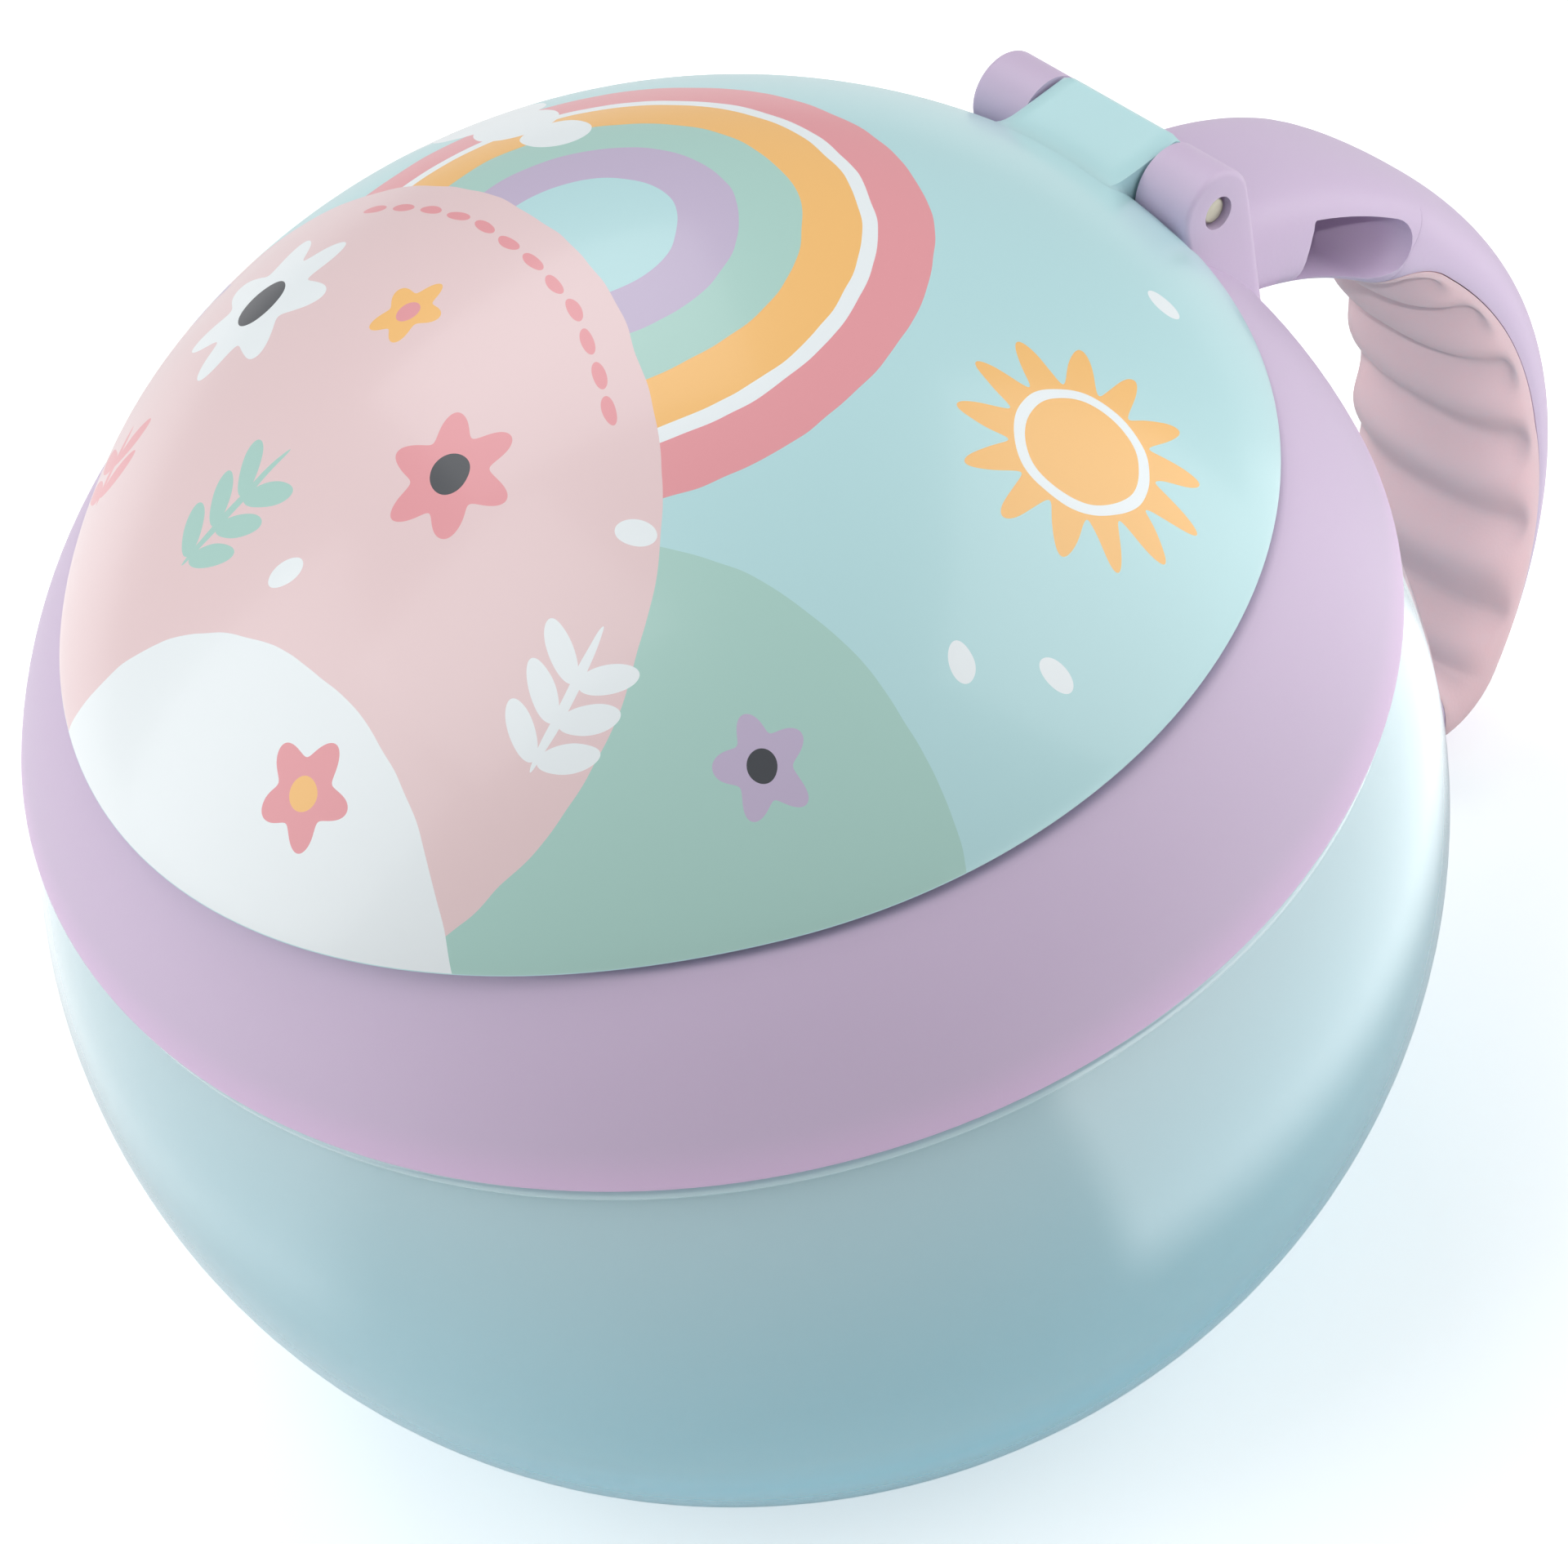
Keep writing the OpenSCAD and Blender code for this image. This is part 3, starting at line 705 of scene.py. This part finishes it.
def collar_profile(sizes):
    """The closed outline of the collar's ring: face, deck, raised lip, pocket, roof and thread bore."""
    deck_z = LID_Z - sizes.deck_gap
    lip_in, lip_out, lip_z = LID_R - 6.6 * MM, LID_R - 5 * MM, deck_z + 3.8 * MM
    bore_r, pocket_r, groove_r = NECK_R + 1.6 * MM, NECK_R - 2.7 * MM, NECK_R + 0.6 * MM
    roof_z, pocket_z = deck_z - 3.6 * MM, deck_z - 1.8 * MM
    start, end = Vector((COLLAR_R, COLLAR_Z)), Vector((DECK_R, deck_z - 0.6 * MM))
    face_bulge, face_steps, edge_t = 0.8 * MM, 16, 1.2 * MM
    across = end - start
    out = Vector((across.y, -across.x)).normalized()
    outline = [(start.x - edge_t, start.y, 0), (start.x, start.y, 0.7 * MM)]
    for k in range(1, face_steps):
        t = k / face_steps
        point = start + across * t + out * 4 * face_bulge * t * (1 - t)
        outline.append((point.x, point.y, 0))
    outline += [
        (end.x, end.y, 0.4 * MM),
        (DECK_R - 0.6 * MM, deck_z, 0.5 * MM),
        (lip_out, deck_z, 0.4 * MM),
        (lip_out, lip_z, 0.7 * MM),
        (lip_in, lip_z, 0.7 * MM),
        (lip_in, pocket_z, 0.2 * MM),
        (pocket_r, pocket_z, 0.2 * MM),
        (pocket_r, roof_z, 0.2 * MM),
        (groove_r, roof_z, 0.2 * MM),
        (bore_r, roof_z - 1.6 * MM, 0.3 * MM),
        (bore_r, COLLAR_Z, 0.5 * MM),
        (start.x - edge_t, start.y, 0),
    ]
    return rounded(outline)[:-1]


def knuckle(side):
    """One ear of the hinge: a tab with a round head, bevelled, with a sunken hole for the pin's end."""
    low_y, high_y = sorted((side * KNUCKLE_IN, side * KNUCKLE_OUT))
    foot_z, top_z = COLLAR_Z + 5 * MM, HINGE.z + BARREL_R
    ear = block("knuckle", (HINGE.x - BARREL_R, low_y, foot_z), (HINGE.x + BARREL_R, high_y, top_z))
    bevel_edges(ear, lambda m, d: abs(d.y) > 0.9 and m.z > top_z - 0.1 * MM, BARREL_R * 0.999, 20)
    end_y = side * KNUCKLE_OUT
    bevel_edges(ear, lambda m, d: abs(m.y - end_y) < 1e-6 and m.z > foot_z + 0.1 * MM, 0.45 * MM, 4)
    combine(ear, rod("hole", (HINGE.x, end_y, HINGE.z), PIN_R + 0.2 * MM, 1.8 * MM), "DIFFERENCE")
    return ear


# The handle's outer line is a large arc round a centre above the table, and a small arc for its heel. Places
# along it are angles in degrees from +X, which fall from the root to the heel's end.
ARC_X = LID_R - 3.6 * MM
HANDLE_R = HANDLE_BOX[1].x - ARC_X
ARC_CENTRE = Vector((ARC_X, 0, LID_Z - 2.6 * MM - HANDLE_R))
ROOT_ANGLE = 84
HEEL_ANGLE = -38
HEEL_END = -112
HEEL_HOLLOW = 0.4 * MM  # radius of the heel's inner side
END_CAP = 2.6 * MM  # the handle's end is rounded over this length
GRIP_TOP, GRIP_LOW = 45, -106
TOP_ROUND, LOW_ROUND = 9, 12  # the grip's ends are rounded over these angles
HANDLE_SHARE, GRIP_SHARE = 0.72, 0.86  # share of the points that go round the outline
# How deep under the outer line the grip begins, in millimetres, at an angle.
GRIP_DEPTHS = ((-90, 1.4), (-36, 2.3), (0, 4.0), (35, 4.8))
SLOT_FIRST, SLOT_LAST = radians(63.5), radians(46)
SLOT_OUT, SLOT_IN = HANDLE_R - 2.3 * MM, HANDLE_R - 7.1 * MM


def boundary_depth(angle, depth):
    """How deep under the outer line the grip begins, at an angle. Past its ends it begins nowhere."""
    if not GRIP_LOW < angle < GRIP_TOP:
        return depth
    straight = between(GRIP_DEPTHS, angle) * MM
    near_end = min((GRIP_TOP - angle) / TOP_ROUND, (angle - GRIP_LOW) / LOW_ROUND, 1)
    return depth - (depth - straight) * sqrt(1 - (1 - near_end) ** 2)


def section_power(angle):
    """How square the section is: rounder along the grip than at the root."""
    return 2 / (2.4 + 1.0 * smoothstep(35, 52, angle))


def section_point(turn, angle, sizes):
    """Depth and sideways place of a point on the section. Turn is 0 at the outer line and pi inside."""
    c, s = cos(turn), sin(turn)
    power = section_power(angle)
    d = sizes.handle_depth / 2 * (1 - copysign(abs(c) ** power, c))
    # The handle swells from its root to the middle of the grip.
    half_width = sizes.handle_width / 2 * (0.82 + 0.18 * smoothstep(75, 15, angle))
    return d, half_width * abs(s) ** power


def boundary_turn(angle, sizes):
    """The turn at which the section at an angle meets the grip."""
    c = max(-1, min(1, 1 - 2 * boundary_depth(angle, sizes.handle_depth) / sizes.handle_depth))
    return acos(copysign(abs(c) ** (1 / section_power(angle)), c))


def round_section(way, outline_share, angle, first_turn, last_turn, sizes):
    """Depth and sideways place of a point of a section that a flat cut closes.

    Way runs from -1 to 1. Its middle share goes round the outline, and the rest lies on the cut.
    """
    share = abs(way)
    turn = first_turn + min(1, share / outline_share) * (last_turn - first_turn)
    d, y = section_point(turn, angle, sizes)
    if share > outline_share:
        y *= (1 - share) / (1 - outline_share)
    return d, copysign(y, way)


def handle_point(angle, d, y, sizes, shrink=1, push=0):
    """A point of the handle, from its angle along the line, its depth under it and its sideways place."""
    centre, radius = ARC_CENTRE, HANDLE_R
    if angle < HEEL_ANGLE:
        turn = radians(HEEL_ANGLE)
        radius = sizes.handle_depth + HEEL_HOLLOW
        centre = ARC_CENTRE + (HANDLE_R - radius) * Vector((cos(turn), 0, sin(turn)))
    a = radians(angle)
    middle = sizes.handle_depth / 2
    r = radius - middle - (d - middle) * shrink
    along = Vector((sin(a), 0, -cos(a)))
    return centre + Vector((r * cos(a), y * shrink, r * sin(a))) + along * push


def grip_angles():
    """Places along the grip, close together at its rounded ends. The rigid handle shares them."""
    top = [GRIP_TOP - TOP_ROUND * (k / 14) ** 2 for k in range(14)]
    arc = steps_between(GRIP_TOP - TOP_ROUND, HEEL_ANGLE, 104)
    heel = steps_between(HEEL_ANGLE, GRIP_LOW + LOW_ROUND, 8)
    low = [GRIP_LOW + LOW_ROUND * (k / 10) ** 2 for k in range(10, -1, -1)]
    return top + arc + heel + low


def handle_shell(sizes):
    """The rigid handle: a rounded bar, cut back to its outer shell where the soft grip lies."""
    angles = steps_between(ROOT_ANGLE, GRIP_TOP, 44) + grip_angles()
    angles += steps_between(GRIP_LOW, HEEL_END, 10)[1:]
    stations = [(angle, 1, 0) for angle in angles]
    for k in range(9):
        t = pi / 2 * k / 8
        stations.append((HEEL_END, max(cos(t), 0.001), END_CAP * sin(t)))
    last = len(stations) - 1

    def place(u, v):
        angle, shrink, push = stations[round(u * last)]
        d, y = round_section(2 * v - 1, HANDLE_SHARE, angle, 0, boundary_turn(angle, sizes), sizes)
        return handle_point(angle, d, y, sizes, shrink, push)

    shell = shaped_grid("handle_shell", last, 72, place)
    edit_openings(shell, merge_distance=1e-6)
    bpy.ops.mesh.edge_face_add()
    close_up(shell)
    return shell


def strap_slot():
    """The cutter for the strap slot: a bent bar across the handle, whose round end flares at both sides."""
    half, middle = (SLOT_OUT - SLOT_IN) / 2, (SLOT_OUT + SLOT_IN) / 2
    first, last = SLOT_FIRST * middle, SLOT_LAST * middle
    round_at = last + half
    corner = 0.5 * MM
    outline = [(SLOT_OUT, s, 0) for s in steps_between(round_at, first - corner, 8)]
    outline += [(SLOT_OUT, first - corner, 0), (SLOT_OUT, first, corner), (SLOT_IN, first, corner)]
    outline += [(SLOT_IN, s, 0) for s in steps_between(first - corner, round_at, 8)]
    outline += [
        (middle - half * cos(a), round_at - half * sin(a), 0) for a in steps_between(0, pi, 14)]
    outline = rounded(outline)
    count = len(outline)
    # Sideways places in millimetres, each with the share of the flare there.
    layers = [(-12, 1), (-7.6, 1), (-6.8, 0.35), (-5.4, 0), (5.4, 0), (6.8, 0.35), (7.6, 1), (12, 1)]
    cutter = primitive(
        "strap_slot", bpy.ops.mesh.primitive_circle_add, vertices=count, radius=MM, fill_type="NGON")
    edit_all(cutter)
    for _ in layers[1:]:
        bpy.ops.mesh.extrude_region_move(TRANSFORM_OT_translate={"value": (0, 0, 0)})
    bpy.ops.object.mode_set(mode="OBJECT")
    for k, vertex in enumerate(cutter.data.vertices):
        y, flare = layers[k // count]
        r, s = outline[k % count]
        r = middle + (r - middle) * (1 + 0.02 * flare)
        s -= 0.5 * MM * flare * smoothstep(first, last, s)
        a = s / middle
        vertex.co = ARC_CENTRE + Vector((r * cos(a), y * MM, r * sin(a)))
    close_up(cutter)
    return cutter


class SNACKCUP_OT_collar(Operator):
    """Turns the collar's ring and adds the hinge knuckles and the handle, which are moulded in one with it"""
    bl_idname = "snackcup.collar"
    bl_label = "Collar and handle"

    def execute(self, context):
        scene = context.scene
        sizes = scene.snackcup_sizes
        handle = handle_shell(sizes)
        combine(handle, strap_slot(), "DIFFERENCE")
        for side in (1, -1):
            combine(handle, knuckle(side), "UNION")
        # The handle and the knuckles end inside the collar's wall, clear of the thread.
        wall_r, wall_top = NECK_R + 2.6 * MM, LID_Z - 4 * MM
        core = turned("core", [(0, 0), (wall_r, 0), (wall_r, wall_top), (0, wall_top)])
        combine(handle, core, "DIFFERENCE")
        collar = turned("collar_and_handle", collar_profile(sizes), steps=RING_STEPS, closed=True)
        combine(collar, handle, "UNION")
        combine(collar, rod("block_room", HINGE, BLOCK_ROOM_R, 2 * KNUCKLE_IN, 64), "DIFFERENCE")
        close_up(collar, 32)
        set_materials(collar, satin_polypropylene(scene.snackcup_colours))
        finish_piece(collar, "collar", "collar_plastic", "collar", "handle")
        return {"FINISHED"}


class SNACKCUP_OT_grip(Operator):
    """Shapes the soft grip with its finger ridges on the inner side of the handle"""
    bl_idname = "snackcup.grip"
    bl_label = "Soft grip"

    def execute(self, context):
        scene = context.scene
        sizes = scene.snackcup_sizes
        depth = sizes.handle_depth
        pitch = degrees(sizes.ridge_spacing / (HANDLE_R - depth))
        first_crest = 31.5
        angles = grip_angles()
        last = len(angles) - 1

        def place(u, v):
            angle = angles[round(u * last)]
            d, y = round_section(2 * v - 1, GRIP_SHARE, angle, pi, boundary_turn(angle, sizes), sizes)
            wave = 1 - (0.5 + 0.5 * cos(TAU * (angle - first_crest) / pitch)) ** 0.7
            edge = max(0.25 * depth, boundary_depth(angle, depth) + 0.5 * MM)
            top_fade = smoothstep(GRIP_TOP, GRIP_TOP - TOP_ROUND, angle)
            low_fade = smoothstep(HEEL_ANGLE - 10, HEEL_ANGLE + 6, angle)
            groove = wave * smoothstep(edge, 0.8 * depth, d) * top_fade * low_fade
            return handle_point(angle, d - sizes.ridge_depth * groove, y * (1 - 0.06 * groove), sizes)

        grip = shaped_grid("soft_grip", last, 80, place)
        close_up(grip, 40)
        pink = scene.snackcup_colours.grip
        set_materials(grip, thermoplastic_elastomer("pink_thermoplastic_elastomer", pink, 0.62))
        finish_piece(grip, "collar", "grip_rubber", "handle_grip")
        return {"FINISHED"}


# ---- Lid -------------------------------------------------

BLOCK_HALF = 5.25 * MM


def dome_height(r_share):
    """Height of the dome above the lid's edge, at a share of the way out to the edge."""
    return DOME_H * max(0, 1 - min(r_share, 1) ** DOME_POWER) ** DOME_ROOT


def edge_stretch(x, y):
    """How much further out than a circle the lid's edge lies in this direction: the thumb lip."""
    angle = abs(atan2(y, -x))
    if angle > THUMB_HALF_ANGLE:
        return 1
    return 1 + THUMB_OUT / LID_R * (1 + cos(pi * angle / THUMB_HALF_ANGLE)) / 2


def surface_z(x, y):
    """Height of the lid's outer surface over a place on the plan."""
    return LID_Z + dome_height(hypot(x, y) / (LID_R * edge_stretch(x, y)))


def lid_profile(sizes):
    """The closed outline of the lid's shell: dome, edge, inner wall and skirt."""
    wall = sizes.lid_wall
    inner_r, inner_h = LID_R - wall, DOME_H - wall
    skirt_in, skirt_out, skirt_z = LID_R - 4.6 * MM, LID_R - 3.4 * MM, LID_Z + 0.3 * MM
    dome_steps, ceiling_steps = 44, 24

    def ceiling(r):
        """Height of the inside of the dome."""
        return LID_Z + inner_h * max(0, 1 - (r / inner_r) ** DOME_POWER) ** DOME_ROOT

    outline = []
    for k in range(dome_steps):
        r = LID_R * sin(pi / 2 * k / dome_steps)
        outline.append((r, LID_Z + dome_height(r / LID_R), 0))
    outline += [
        (LID_R, LID_Z, 0.25 * MM),
        (inner_r, LID_Z, 0.4 * MM),
        (skirt_out + 0.5 * MM, ceiling(skirt_out) - 0.2 * MM, 0),
        (skirt_out, ceiling(skirt_out) - 0.6 * MM, 0),
        (skirt_out, skirt_z, 0.35 * MM),
        (skirt_in, skirt_z, 0.35 * MM),
        (skirt_in, ceiling(skirt_in), 0.4 * MM),
    ]
    for k in range(1, ceiling_steps + 1):
        r = skirt_in * cos(pi / 2 * k / ceiling_steps)
        outline.append((r, ceiling(r), 0))
    return rounded(outline)


def hinge_block():
    """The lid's hinge block: a plate that runs out of the dome, with hollow fillets where they meet."""
    start_x, ridge_x = 31 * MM, HINGE.x + 1.8 * MM
    plate_z = HINGE.z + BARREL_R
    soften = 0.55 * MM
    edge_drop = 0.35 * MM
    columns, rows, layers = 26, 16, 6

    def blend_up(a, b):
        """The higher of two heights, rounded where they cross."""
        high = max(a, b)
        return high + soften * log(exp((a - high) / soften) + exp((b - high) / soften))

    def place(u, v):
        x = start_x + (ridge_x - start_x) * u
        way = 2 * v - 1
        y = BLOCK_HALF * way
        plate = plate_z - edge_drop * smoothstep(0.97, 1, u) - edge_drop * smoothstep(0.94, 1, abs(way))
        return Vector((x, y, blend_up(plate, surface_z(x, y) - 0.25 * MM)))

    def under(x, y):
        """Lowest height of the block: just inside the dome, or outside it the barrel under the plate."""
        if hypot(x, y) < LID_R - 0.8 * MM:
            return surface_z(x, y) - 0.3 * MM
        return HINGE.z - sqrt(max(0, BARREL_R ** 2 - min(abs(x - HINGE.x), BARREL_R) ** 2))

    obj = shaped_grid("hinge_block", columns, rows, place)
    edit_openings(obj)
    for k in range(1, layers + 1):
        bpy.ops.mesh.extrude_edges_move(TRANSFORM_OT_translate={"value": (0, 0, 0)})
        mesh = bmesh.from_edit_mesh(obj.data)
        bend = 1 - cos(k / layers * pi / 2)
        for vertex in mesh.verts:
            if not vertex.select:
                continue
            x, y, top = vertex.co
            vertex.co.z = top + (under(x, y) - top) / (layers - k + 1)
            if abs(y) > BLOCK_HALF * 0.98:
                flare = 1.3 * MM * smoothstep(36.6 * MM, 34.8 * MM, x)
                vertex.co.y = copysign(BLOCK_HALF + flare * bend, y)
        bmesh.update_edit_mesh(obj.data)
    bpy.ops.mesh.fill_grid(span=columns, offset=0)
    close_up(obj, 40)
    return obj


def pull_thumb_lip(lid):
    """Stretches the edge and the outer surface of the turned shell into the thumb lip."""
    for vertex in lid.data.vertices:
        x, y, z = vertex.co
        r = hypot(x, y)
        outer = abs(LID_Z + dome_height(r / LID_R) - z) < 0.5 * MM and z > LID_Z + 0.01 * MM
        weight = 1 if outer else smoothstep(LID_R - 3.4 * MM, LID_R - 1 * MM, r)
        stretch = 1 + (edge_stretch(x, y) - 1) * weight
        vertex.co.x, vertex.co.y = x * stretch, y * stretch


def cut_knuckle_notches(lid):
    """Cuts the room for the collar's knuckles at both sides of the hinge block."""
    notch_x, notch_size = HINGE.x - BARREL_R - 0.4 * MM, 20 * MM
    for side in (1, -1):
        low_y, high_y = sorted((side * BLOCK_HALF, side * (KNUCKLE_OUT + 0.75 * MM)))
        notch = block(
            "notch", (notch_x, low_y, LID_Z - MM), (notch_x + notch_size, high_y, LID_Z + notch_size))
        combine(lid, notch, "DIFFERENCE")


class SNACKCUP_OT_lid(Operator):
    """Turns the lid's shell, pulls out the thumb lip, adds the hinge block and prints the picture"""
    bl_idname = "snackcup.lid"
    bl_label = "Lid"

    def execute(self, context):
        scene = context.scene
        lid = turned("lid_shell", lid_profile(scene.snackcup_sizes), steps=256)
        pull_thumb_lip(lid)
        cut_knuckle_notches(lid)
        plain = glossy_polypropylene(scene.snackcup_colours)
        set_materials(lid, plain, printed_polypropylene(scene.snackcup_colours))
        for face in lid.data.polygons:
            x, y, z = face.center
            printed = surface_z(x, y) - z < 0.4 * MM and z > LID_Z + 0.15 * MM
            face.material_index = 1 if printed else 0
        hinge = hinge_block()
        combine(hinge, rod("pin_bore", HINGE, PIN_R + 0.05 * MM, 30 * MM), "DIFFERENCE")
        set_materials(hinge, plain)
        close_up(lid, 40)
        join(lid, hinge)
        finish_piece(lid, "lid", "lid_plastic", "lid")
        return {"FINISHED"}


# ---- Pin and soft insert ---------------------------------

class SNACKCUP_OT_pin(Operator):
    """Makes the hinge pin, a cut rod with rounded ends"""
    bl_idname = "snackcup.pin"
    bl_label = "Hinge pin"

    def execute(self, context):
        length = PIN_BOX[1].y - PIN_BOX[0].y
        pin = rod("steel_pin", HINGE, PIN_R, length)
        bevel_edges(pin, lambda m, d: abs(abs(m.y) - length / 2) < 1e-6, 0.25 * MM, 4)
        close_up(pin, 40)
        set_materials(pin, turned_steel(context.scene.snackcup_colours))
        finish_piece(pin, "collar", "pin_steel", "hinge_pin")
        return {"FINISHED"}


class SNACKCUP_OT_insert(Operator):
    """Gives the soft insert, its retaining ring and the rim seal their materials"""
    bl_idname = "snackcup.insert"
    bl_label = "Soft insert"

    def execute(self, context):
        white = context.scene.snackcup_colours.insert
        silicone = thermoplastic_elastomer("white_silicone", white, 0.5)
        satin = bpy.data.materials["satin_moulded_polypropylene"]
        for name, node in frame["nodes"].items():
            if name.startswith("flap_") or name == "rim_seal":
                set_materials(node, satin if name == "flap_retainer" else silicone)
        return {"FINISHED"}


# ---- Stage -----------------------------------------------

# The camera stands this far from the middle of the lid's edge. The lens and the sensor are in millimetres,
# and angles are in degrees.
CAMERA_DISTANCE = 366.0 * MM
CAMERA_LENS = 131.09
CAMERA_SENSOR = 36
CAMERA_HEADING = -33.0
CAMERA_HEIGHT = 43.35
CAMERA_YAW = 0.708
CAMERA_PITCH = 46.233
CAMERA_ROLL = -12.452

LIGHT_DISTANCE = 0.9
CUP_MIDDLE = Vector((0.01, 0, 0.05))
GRIP_MIDDLE = Vector((0.072, 0, 0.02))
# Name, heading and height in degrees, size in metres, power in watts.
SOFT_LIGHTS = (
    ("left_light", -118, 25, 0.9, 4.0),
    ("right_light", 52, 25, 0.9, 5.2),
    ("back_light", 160, 55, 0.6, 2.2),
    ("top_light", -100, 66, 0.5, 1.6),
)
PAPER_WHITE = 0.86
PAPER_LIFT = 0.42
# The painted reflection strips, a glow on the paper that only glossy rays see, lie along this heading and
# start this far out.
REFLECTION_STRIPS_HEADING = radians(-48)
REFLECTION_STRIPS_START, REFLECTION_STRIPS_FULL = 60 * MM, 85 * MM
WORLD_COLOUR = (0.98, 0.98, 1, 1)
WORLD_STRENGTH = 0.3


def place_camera(scene):
    """A camera at the photograph's angle, in the frame turned by its heading round Z."""
    height, yaw, pitch, roll = (
        radians(a) for a in (CAMERA_HEIGHT, CAMERA_YAW, CAMERA_PITCH, CAMERA_ROLL))
    forward = Vector((sin(yaw) * cos(pitch), cos(yaw) * cos(pitch), -sin(pitch)))
    level = Vector((cos(yaw), -sin(yaw), 0))
    above = level.cross(forward)
    right = cos(roll) * level + sin(roll) * above
    up = -sin(roll) * level + cos(roll) * above
    turn = Matrix.Rotation(radians(CAMERA_HEADING), 3, "Z")
    way = turn @ Vector((0, -cos(height), sin(height)))
    spot = way * CAMERA_DISTANCE + Vector((0, 0, LID_Z))
    basis = Matrix((turn @ right, turn @ up, turn @ -forward)).transposed()
    camera = primitive("photo_camera", bpy.ops.object.camera_add)
    camera.data.lens = CAMERA_LENS
    camera.data.sensor_width = CAMERA_SENSOR
    camera.data.clip_start = 0.01
    camera.matrix_world = Matrix.Translation(spot) @ basis.to_4x4()
    scene.camera = camera


def aimed_light(name, kind, heading, height, target, power):
    """A light that faces a target from a heading round Z and a height above the floor, both in degrees."""
    a, e = radians(heading), radians(height)
    way = Vector((sin(a) * cos(e), -cos(a) * cos(e), sin(e)))
    light = primitive(name, bpy.ops.object.light_add, type=kind, location=target + way * LIGHT_DISTANCE)
    light.data.energy = power
    light.rotation_euler = way.to_track_quat("Z", "Y").to_euler()
    return light


def grip_light():
    """A narrow spotlight with a soft edge, which lifts the grip out of the cup's shade."""
    width = 0.05
    light = aimed_light("grip_light", "SPOT", -42, 46, GRIP_MIDDLE, 12)
    light.data.spot_size = 2 * atan(width / 2 / LIGHT_DISTANCE)
    light.data.spot_blend = 0.8
    light.data.shadow_soft_size = 0.012


def painted_reflection_strips(tree):
    """Strength of the painted reflection strips on the paper at the cup's left and right, which face the side
    lights.
    """
    place = object_place(tree)
    reflection_strips_way = (cos(REFLECTION_STRIPS_HEADING), sin(REFLECTION_STRIPS_HEADING), 0)
    across = vectors(tree, "DOT_PRODUCT", place, reflection_strips_way)
    reach = vectors(tree, "LENGTH", place)
    share = maths(tree, "DIVIDE", across, reach)
    right = fade(tree, share, 0.68, 0.77, 1.15)
    left = fade(tree, share, -0.64, -0.82, 0.35)
    clear = fade(tree, reach, REFLECTION_STRIPS_START, REFLECTION_STRIPS_FULL)
    return maths(tree, "MULTIPLY", maths(tree, "ADD", right, left), clear)


def white_floor():
    """Floor paper: matt white, bright enough behind the cup to read as a white background.

    The bowl's gloss shows painted reflection strips on it at the cup's left and right, near the side lights:
    a glow that only glossy rays see.
    """
    material = bpy.data.materials.new("white_background_paper")
    material.use_nodes = True
    tree = material.node_tree
    tree.nodes.clear()
    rays = add(tree, "LightPath").outputs
    seen = maths(tree, "MAXIMUM", rays["Is Camera Ray"], rays["Is Transmission Ray"])
    lift = maths(tree, "MULTIPLY", seen, PAPER_LIFT)
    # Painted reflection: glossy rays alone see the strips' glow, so the bowl shows them and the camera does
    # not.
    lift = maths(tree, "MULTIPLY_ADD", rays["Is Glossy Ray"], painted_reflection_strips(tree), lift)
    paper = add(tree, "BsdfDiffuse", {"Color": (PAPER_WHITE, PAPER_WHITE, PAPER_WHITE, 1)})
    glow = add(tree, "Emission", {"Color": (1, 1, 1, 1), "Strength": lift})
    both = add(tree, "AddShader", {0: paper.outputs[0], 1: glow.outputs[0]})
    add(tree, "OutputMaterial", {0: both.outputs[0]})
    return material


class SNACKCUP_OT_stage(Operator):
    """Adds the floor, the soft lights, the world and the camera"""
    bl_idname = "snackcup.stage"
    bl_label = "Stage"

    def execute(self, context):
        scene = context.scene
        floor = primitive("floor", bpy.ops.mesh.primitive_plane_add, size=6)
        set_materials(floor, white_floor())
        for name, heading, height, size, power in SOFT_LIGHTS:
            aimed_light(name, "AREA", heading, height, CUP_MIDDLE, power).data.size = size
        grip_light()
        world = bpy.data.worlds.new("studio")
        world.use_nodes = True
        background = world.node_tree.nodes["Background"]
        background.inputs["Color"].default_value = WORLD_COLOUR
        background.inputs["Strength"].default_value = WORLD_STRENGTH
        scene.world = world
        scene.view_settings.view_transform = "Standard"
        place_camera(scene)
        return {"FINISHED"}


class SNACKCUP_PT_panel(Panel):
    """Lists the operators in the 3D view's sidebar"""
    bl_idname = "SNACKCUP_PT_panel"
    bl_label = "Snack cup"
    bl_space_type = "VIEW_3D"
    bl_region_type = "UI"
    bl_category = "Snack cup"

    def draw(self, context):
        for group in (context.scene.snackcup_sizes, context.scene.snackcup_colours):
            box = self.layout.box()
            for name in group.__annotations__:
                box.prop(group, name)
        for operator in OPERATORS:
            self.layout.operator(operator.bl_idname)


OPERATORS = (
    SNACKCUP_OT_stage, SNACKCUP_OT_bowl, SNACKCUP_OT_collar, SNACKCUP_OT_grip, SNACKCUP_OT_lid,
    SNACKCUP_OT_pin, SNACKCUP_OT_insert)
CLASSES = (SnackCupSizes, SnackCupColours, *OPERATORS, SNACKCUP_PT_panel)


def register():
    for cls in CLASSES:
        bpy.utils.register_class(cls)
    bpy.types.Scene.snackcup_sizes = PointerProperty(type=SnackCupSizes)
    bpy.types.Scene.snackcup_colours = PointerProperty(type=SnackCupColours)


def unregister():
    del bpy.types.Scene.snackcup_colours
    del bpy.types.Scene.snackcup_sizes
    for cls in reversed(CLASSES):
        bpy.utils.unregister_class(cls)


def main():
    register()
    bpy.ops.snackcup.stage()
    bpy.ops.snackcup.bowl()
    bpy.ops.snackcup.collar()
    bpy.ops.snackcup.grip()
    bpy.ops.snackcup.lid()
    bpy.ops.snackcup.pin()
    bpy.ops.snackcup.insert()


if __name__ == "__main__":
    main()
